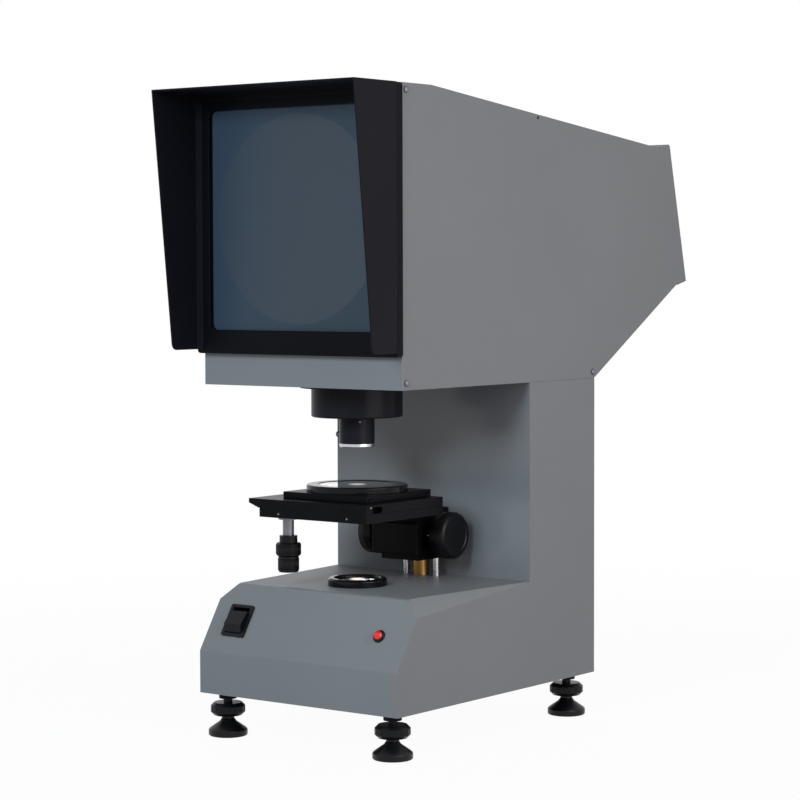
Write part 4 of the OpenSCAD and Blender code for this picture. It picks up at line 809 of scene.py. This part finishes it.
plate_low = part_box("stage_base_plate")[0]
place_screws("plate_set_screws", "carriage", "steel", SET_SCREW_R, ZINC, [
    (Vector((x, plate_low.y, plate_low.z + PLATE_SCREW_UP)), FORWARD)
    for x in (-PLATE_SCREW_X, PLATE_SCREW_X)])

slide_low, slide_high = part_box("y_slide_plate")
place_screws("slide_set_screw", "y_slide", "steel", SET_SCREW_R, ZINC, [
    (Vector((slide_high.x, slide_low.y + SLIDE_SCREW_IN, slide_low.z + SLIDE_SCREW_UP)), TO_RIGHT)])

barrel_low, barrel_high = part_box("objective_barrel")
barrel_mid = middle("objective_barrel")
barrel_r = (barrel_high.x - barrel_low.x) / 2
barrel_axis = Vector((barrel_mid.x, barrel_mid.y, barrel_high.z - BARREL_SCREW_DOWN))
place_screws("barrel_set_screw", "frame", "steel", SET_SCREW_R, ZINC, [
    (barrel_axis + BARREL_LOOK * barrel_r, BARREL_LOOK)])

shaft_mid = middle("pinion_shaft")
place_screws("hub_set_screws", "focus", "steel", SET_SCREW_R, STEEL, [
    (Vector((x, shaft_mid.y - HUB_R, shaft_mid.z)), FORWARD) for x in (-HUB_SCREW_X, HUB_SCREW_X)])

panel_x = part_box("head_side_right")[1].x
place_screws("panel_edge_screws", "frame", "black_steel", EDGE_SCREW_R, BLACK_STEEL, [
    (Vector((x, EDGE_SCREW_Y, EDGE_SCREW_Z)), Vector((x, 0, 0))) for x in (-panel_x, panel_x)])
print("placed the set screws")

# %% [markdown]
# ## Knurls
# The knobs are gripped with dry fingertips, so each has a fine straight knurl round its rim. A bump in
# the material would vanish at the knob's outline, and there the ridges show most, so they are real
# bars. Their number follows from the rim's length, which keeps the pitch the same on every knob.

# %% Knurls on the knobs
BAR_R = 0.45 * MM
BAR_SINK = 0.35
BAR_PITCH = 1.5 * MM
UPPER_GRIP_UP = 5.9 * MM
UPPER_GRIP = 8.6 * MM
LOWER_GRIP_UP = 7.2 * MM
LOWER_GRIP = 10.4 * MM
FOCUS_GRIP_IN = 8.5 * MM
FOCUS_GRIP = 11.5 * MM


def knurl_ring(name, body, slot, radius, centre, length, along_x):
    bars = KNURL.grow(name, bpy.data.meshes.new(name), body, slot, Radius=radius - BAR_R * BAR_SINK,
                      Count=round(2 * math.pi * radius / BAR_PITCH), Length=length, Bar=BAR_R,
                      Metal=MOULDED_BLACK)
    turn = Matrix.Rotation(math.pi / 2, 4, "Y") if along_x else Matrix.Identity(4)
    bars.data.transform(Matrix.Translation(centre) @ turn)


def drive_knurl(name, body, node, up, length):
    """A knurl round one of the two hanging drive knobs."""
    low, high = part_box(node)
    axis = middle(node)
    knurl_ring(name, body, "black_plastic", (high.x - low.x) / 2,
               Vector((axis.x, axis.y, low.z + up)), length, False)


drive_knurl("upper_knurl", "upper_knob", "y_knob", UPPER_GRIP_UP, UPPER_GRIP)
drive_knurl("lower_knurl", "lower_knob", "x_knob", LOWER_GRIP_UP, LOWER_GRIP)
grip_low, grip_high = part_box("focus_knobs")
grip_mid = middle("focus_knobs")
for side, name in ((-1, "left"), (1, "right")):
    knurl_ring("focus_knurl_" + name, "focus", "black_anodised", (grip_high.z - grip_low.z) / 2,
               Vector((side * (grip_high.x - FOCUS_GRIP_IN), grip_mid.y, grip_mid.z)), FOCUS_GRIP, True)
print("knurled the knobs")

# %% [markdown]
# ## The floor
# The machine stands on a pale floor that fades to white, so no horizon shows. What the camera sees, or
# sees in metal and through glass, is mostly plain white. The small rest is a matt grey surface, which
# keeps a faint shadow under the feet.

# %% A pale floor
WHITE = (1.0, 1.0, 1.0, 1.0)
FLOOR_R = 6.0
FLOOR_SIDES = 96
FADE_FROM = 0.45
FADE_TO = 1.5


def seen_rays(wiring):
    """1 or more for a ray from the camera, off a shiny surface or through glass, and 0 for others."""
    camera_ray, glossy_ray, passed_ray = (
        wiring.node("ShaderNodeLightPath", None, out=kind)
        for kind in ("Is Camera Ray", "Is Glossy Ray", "Is Transmission Ray"))
    return camera_ray + glossy_ray + passed_ray


def pale_floor():
    floor = Finish("pale_floor")
    far = from_centre(floor.axis("X"), floor.axis("Y")).step(FADE_FROM, FADE_TO)
    floor.set(Base_Color=srgb(176, 178, 181), Roughness=0.9)
    matt = Flow(floor, floor.shader.outputs[0])
    white = floor.node("ShaderNodeEmission", None, Color=WHITE, Strength=1.0)
    blend = floor.node("ShaderNodeMixShader", None, seen_rays(floor) * far.between(0.96, 1.0), matt, white)
    floor.feed(floor.tree.nodes["Material Output"].inputs["Surface"], blend)
    return floor.material


floor_mesh = bpy.data.meshes.new("floor")
floor_angles = [2 * math.pi * side / FLOOR_SIDES for side in range(FLOOR_SIDES)]
floor_rim = [(FLOOR_R * math.cos(angle), FLOOR_R * math.sin(angle), 0) for angle in floor_angles]
floor_mesh.from_pydata(floor_rim, [], [list(range(FLOOR_SIDES))])
floor_mesh.materials.append(pale_floor())
floor_piece = bpy.data.objects.new("floor", floor_mesh)
bpy.context.scene.collection.objects.link(floor_piece)
print("laid the floor")

# %% [markdown]
# ## The light
# An even sky and three soft boxes light the machine, about as bright as its colours are written. A cool
# one stands in front, a warm one at the right, and a white one fills the back. The front and back ones
# leave no mirror image, because a lamp's reflection in the enamel would hide its colour.

# %% Sky and soft boxes
SKY_LIGHT = 0.2


def soft_box(name, power, size, direction, distance, tint, mirrored=True):
    lamp = bpy.data.lights.new(name, "AREA")
    lamp.energy = power
    lamp.color = tint
    lamp.size = size
    holder = bpy.data.objects.new(name, lamp)
    holder.visible_glossy = mirrored
    toward = Vector(direction).normalized()
    holder.location = view_target + toward * distance
    holder.rotation_euler = toward.to_track_quat("Z", "Y").to_euler()
    bpy.context.scene.collection.objects.link(holder)


world = bpy.data.worlds.new("white_room")
bpy.context.scene.world = world
world.use_nodes = True
sky = Wiring(world.node_tree)
background = world.node_tree.nodes["Background"]
sky.feed(background.inputs["Color"], WHITE)
sky.feed(background.inputs["Strength"],
         sky.node("ShaderNodeMapRange", None, seen_rays(sky), 0.0, 1.0, SKY_LIGHT, 1.0))

soft_box("front_box", power=38.6, size=0.6, direction=(0.14, -1.0, 0.38), distance=2.0,
         tint=(0.75, 0.925, 1.0), mirrored=False)
soft_box("side_box", power=11.8, size=0.9, direction=(1.0, -0.18, 0.26), distance=1.2,
         tint=(1.0, 0.97, 0.96))
soft_box("back_box", power=20.0, size=1.5, direction=(-0.8, 0.9, 0.6), distance=1.7,
         tint=(1.0, 1.0, 1.0), mirrored=False)
bpy.context.scene.view_settings.view_transform = "Standard"
print("lit the scene")
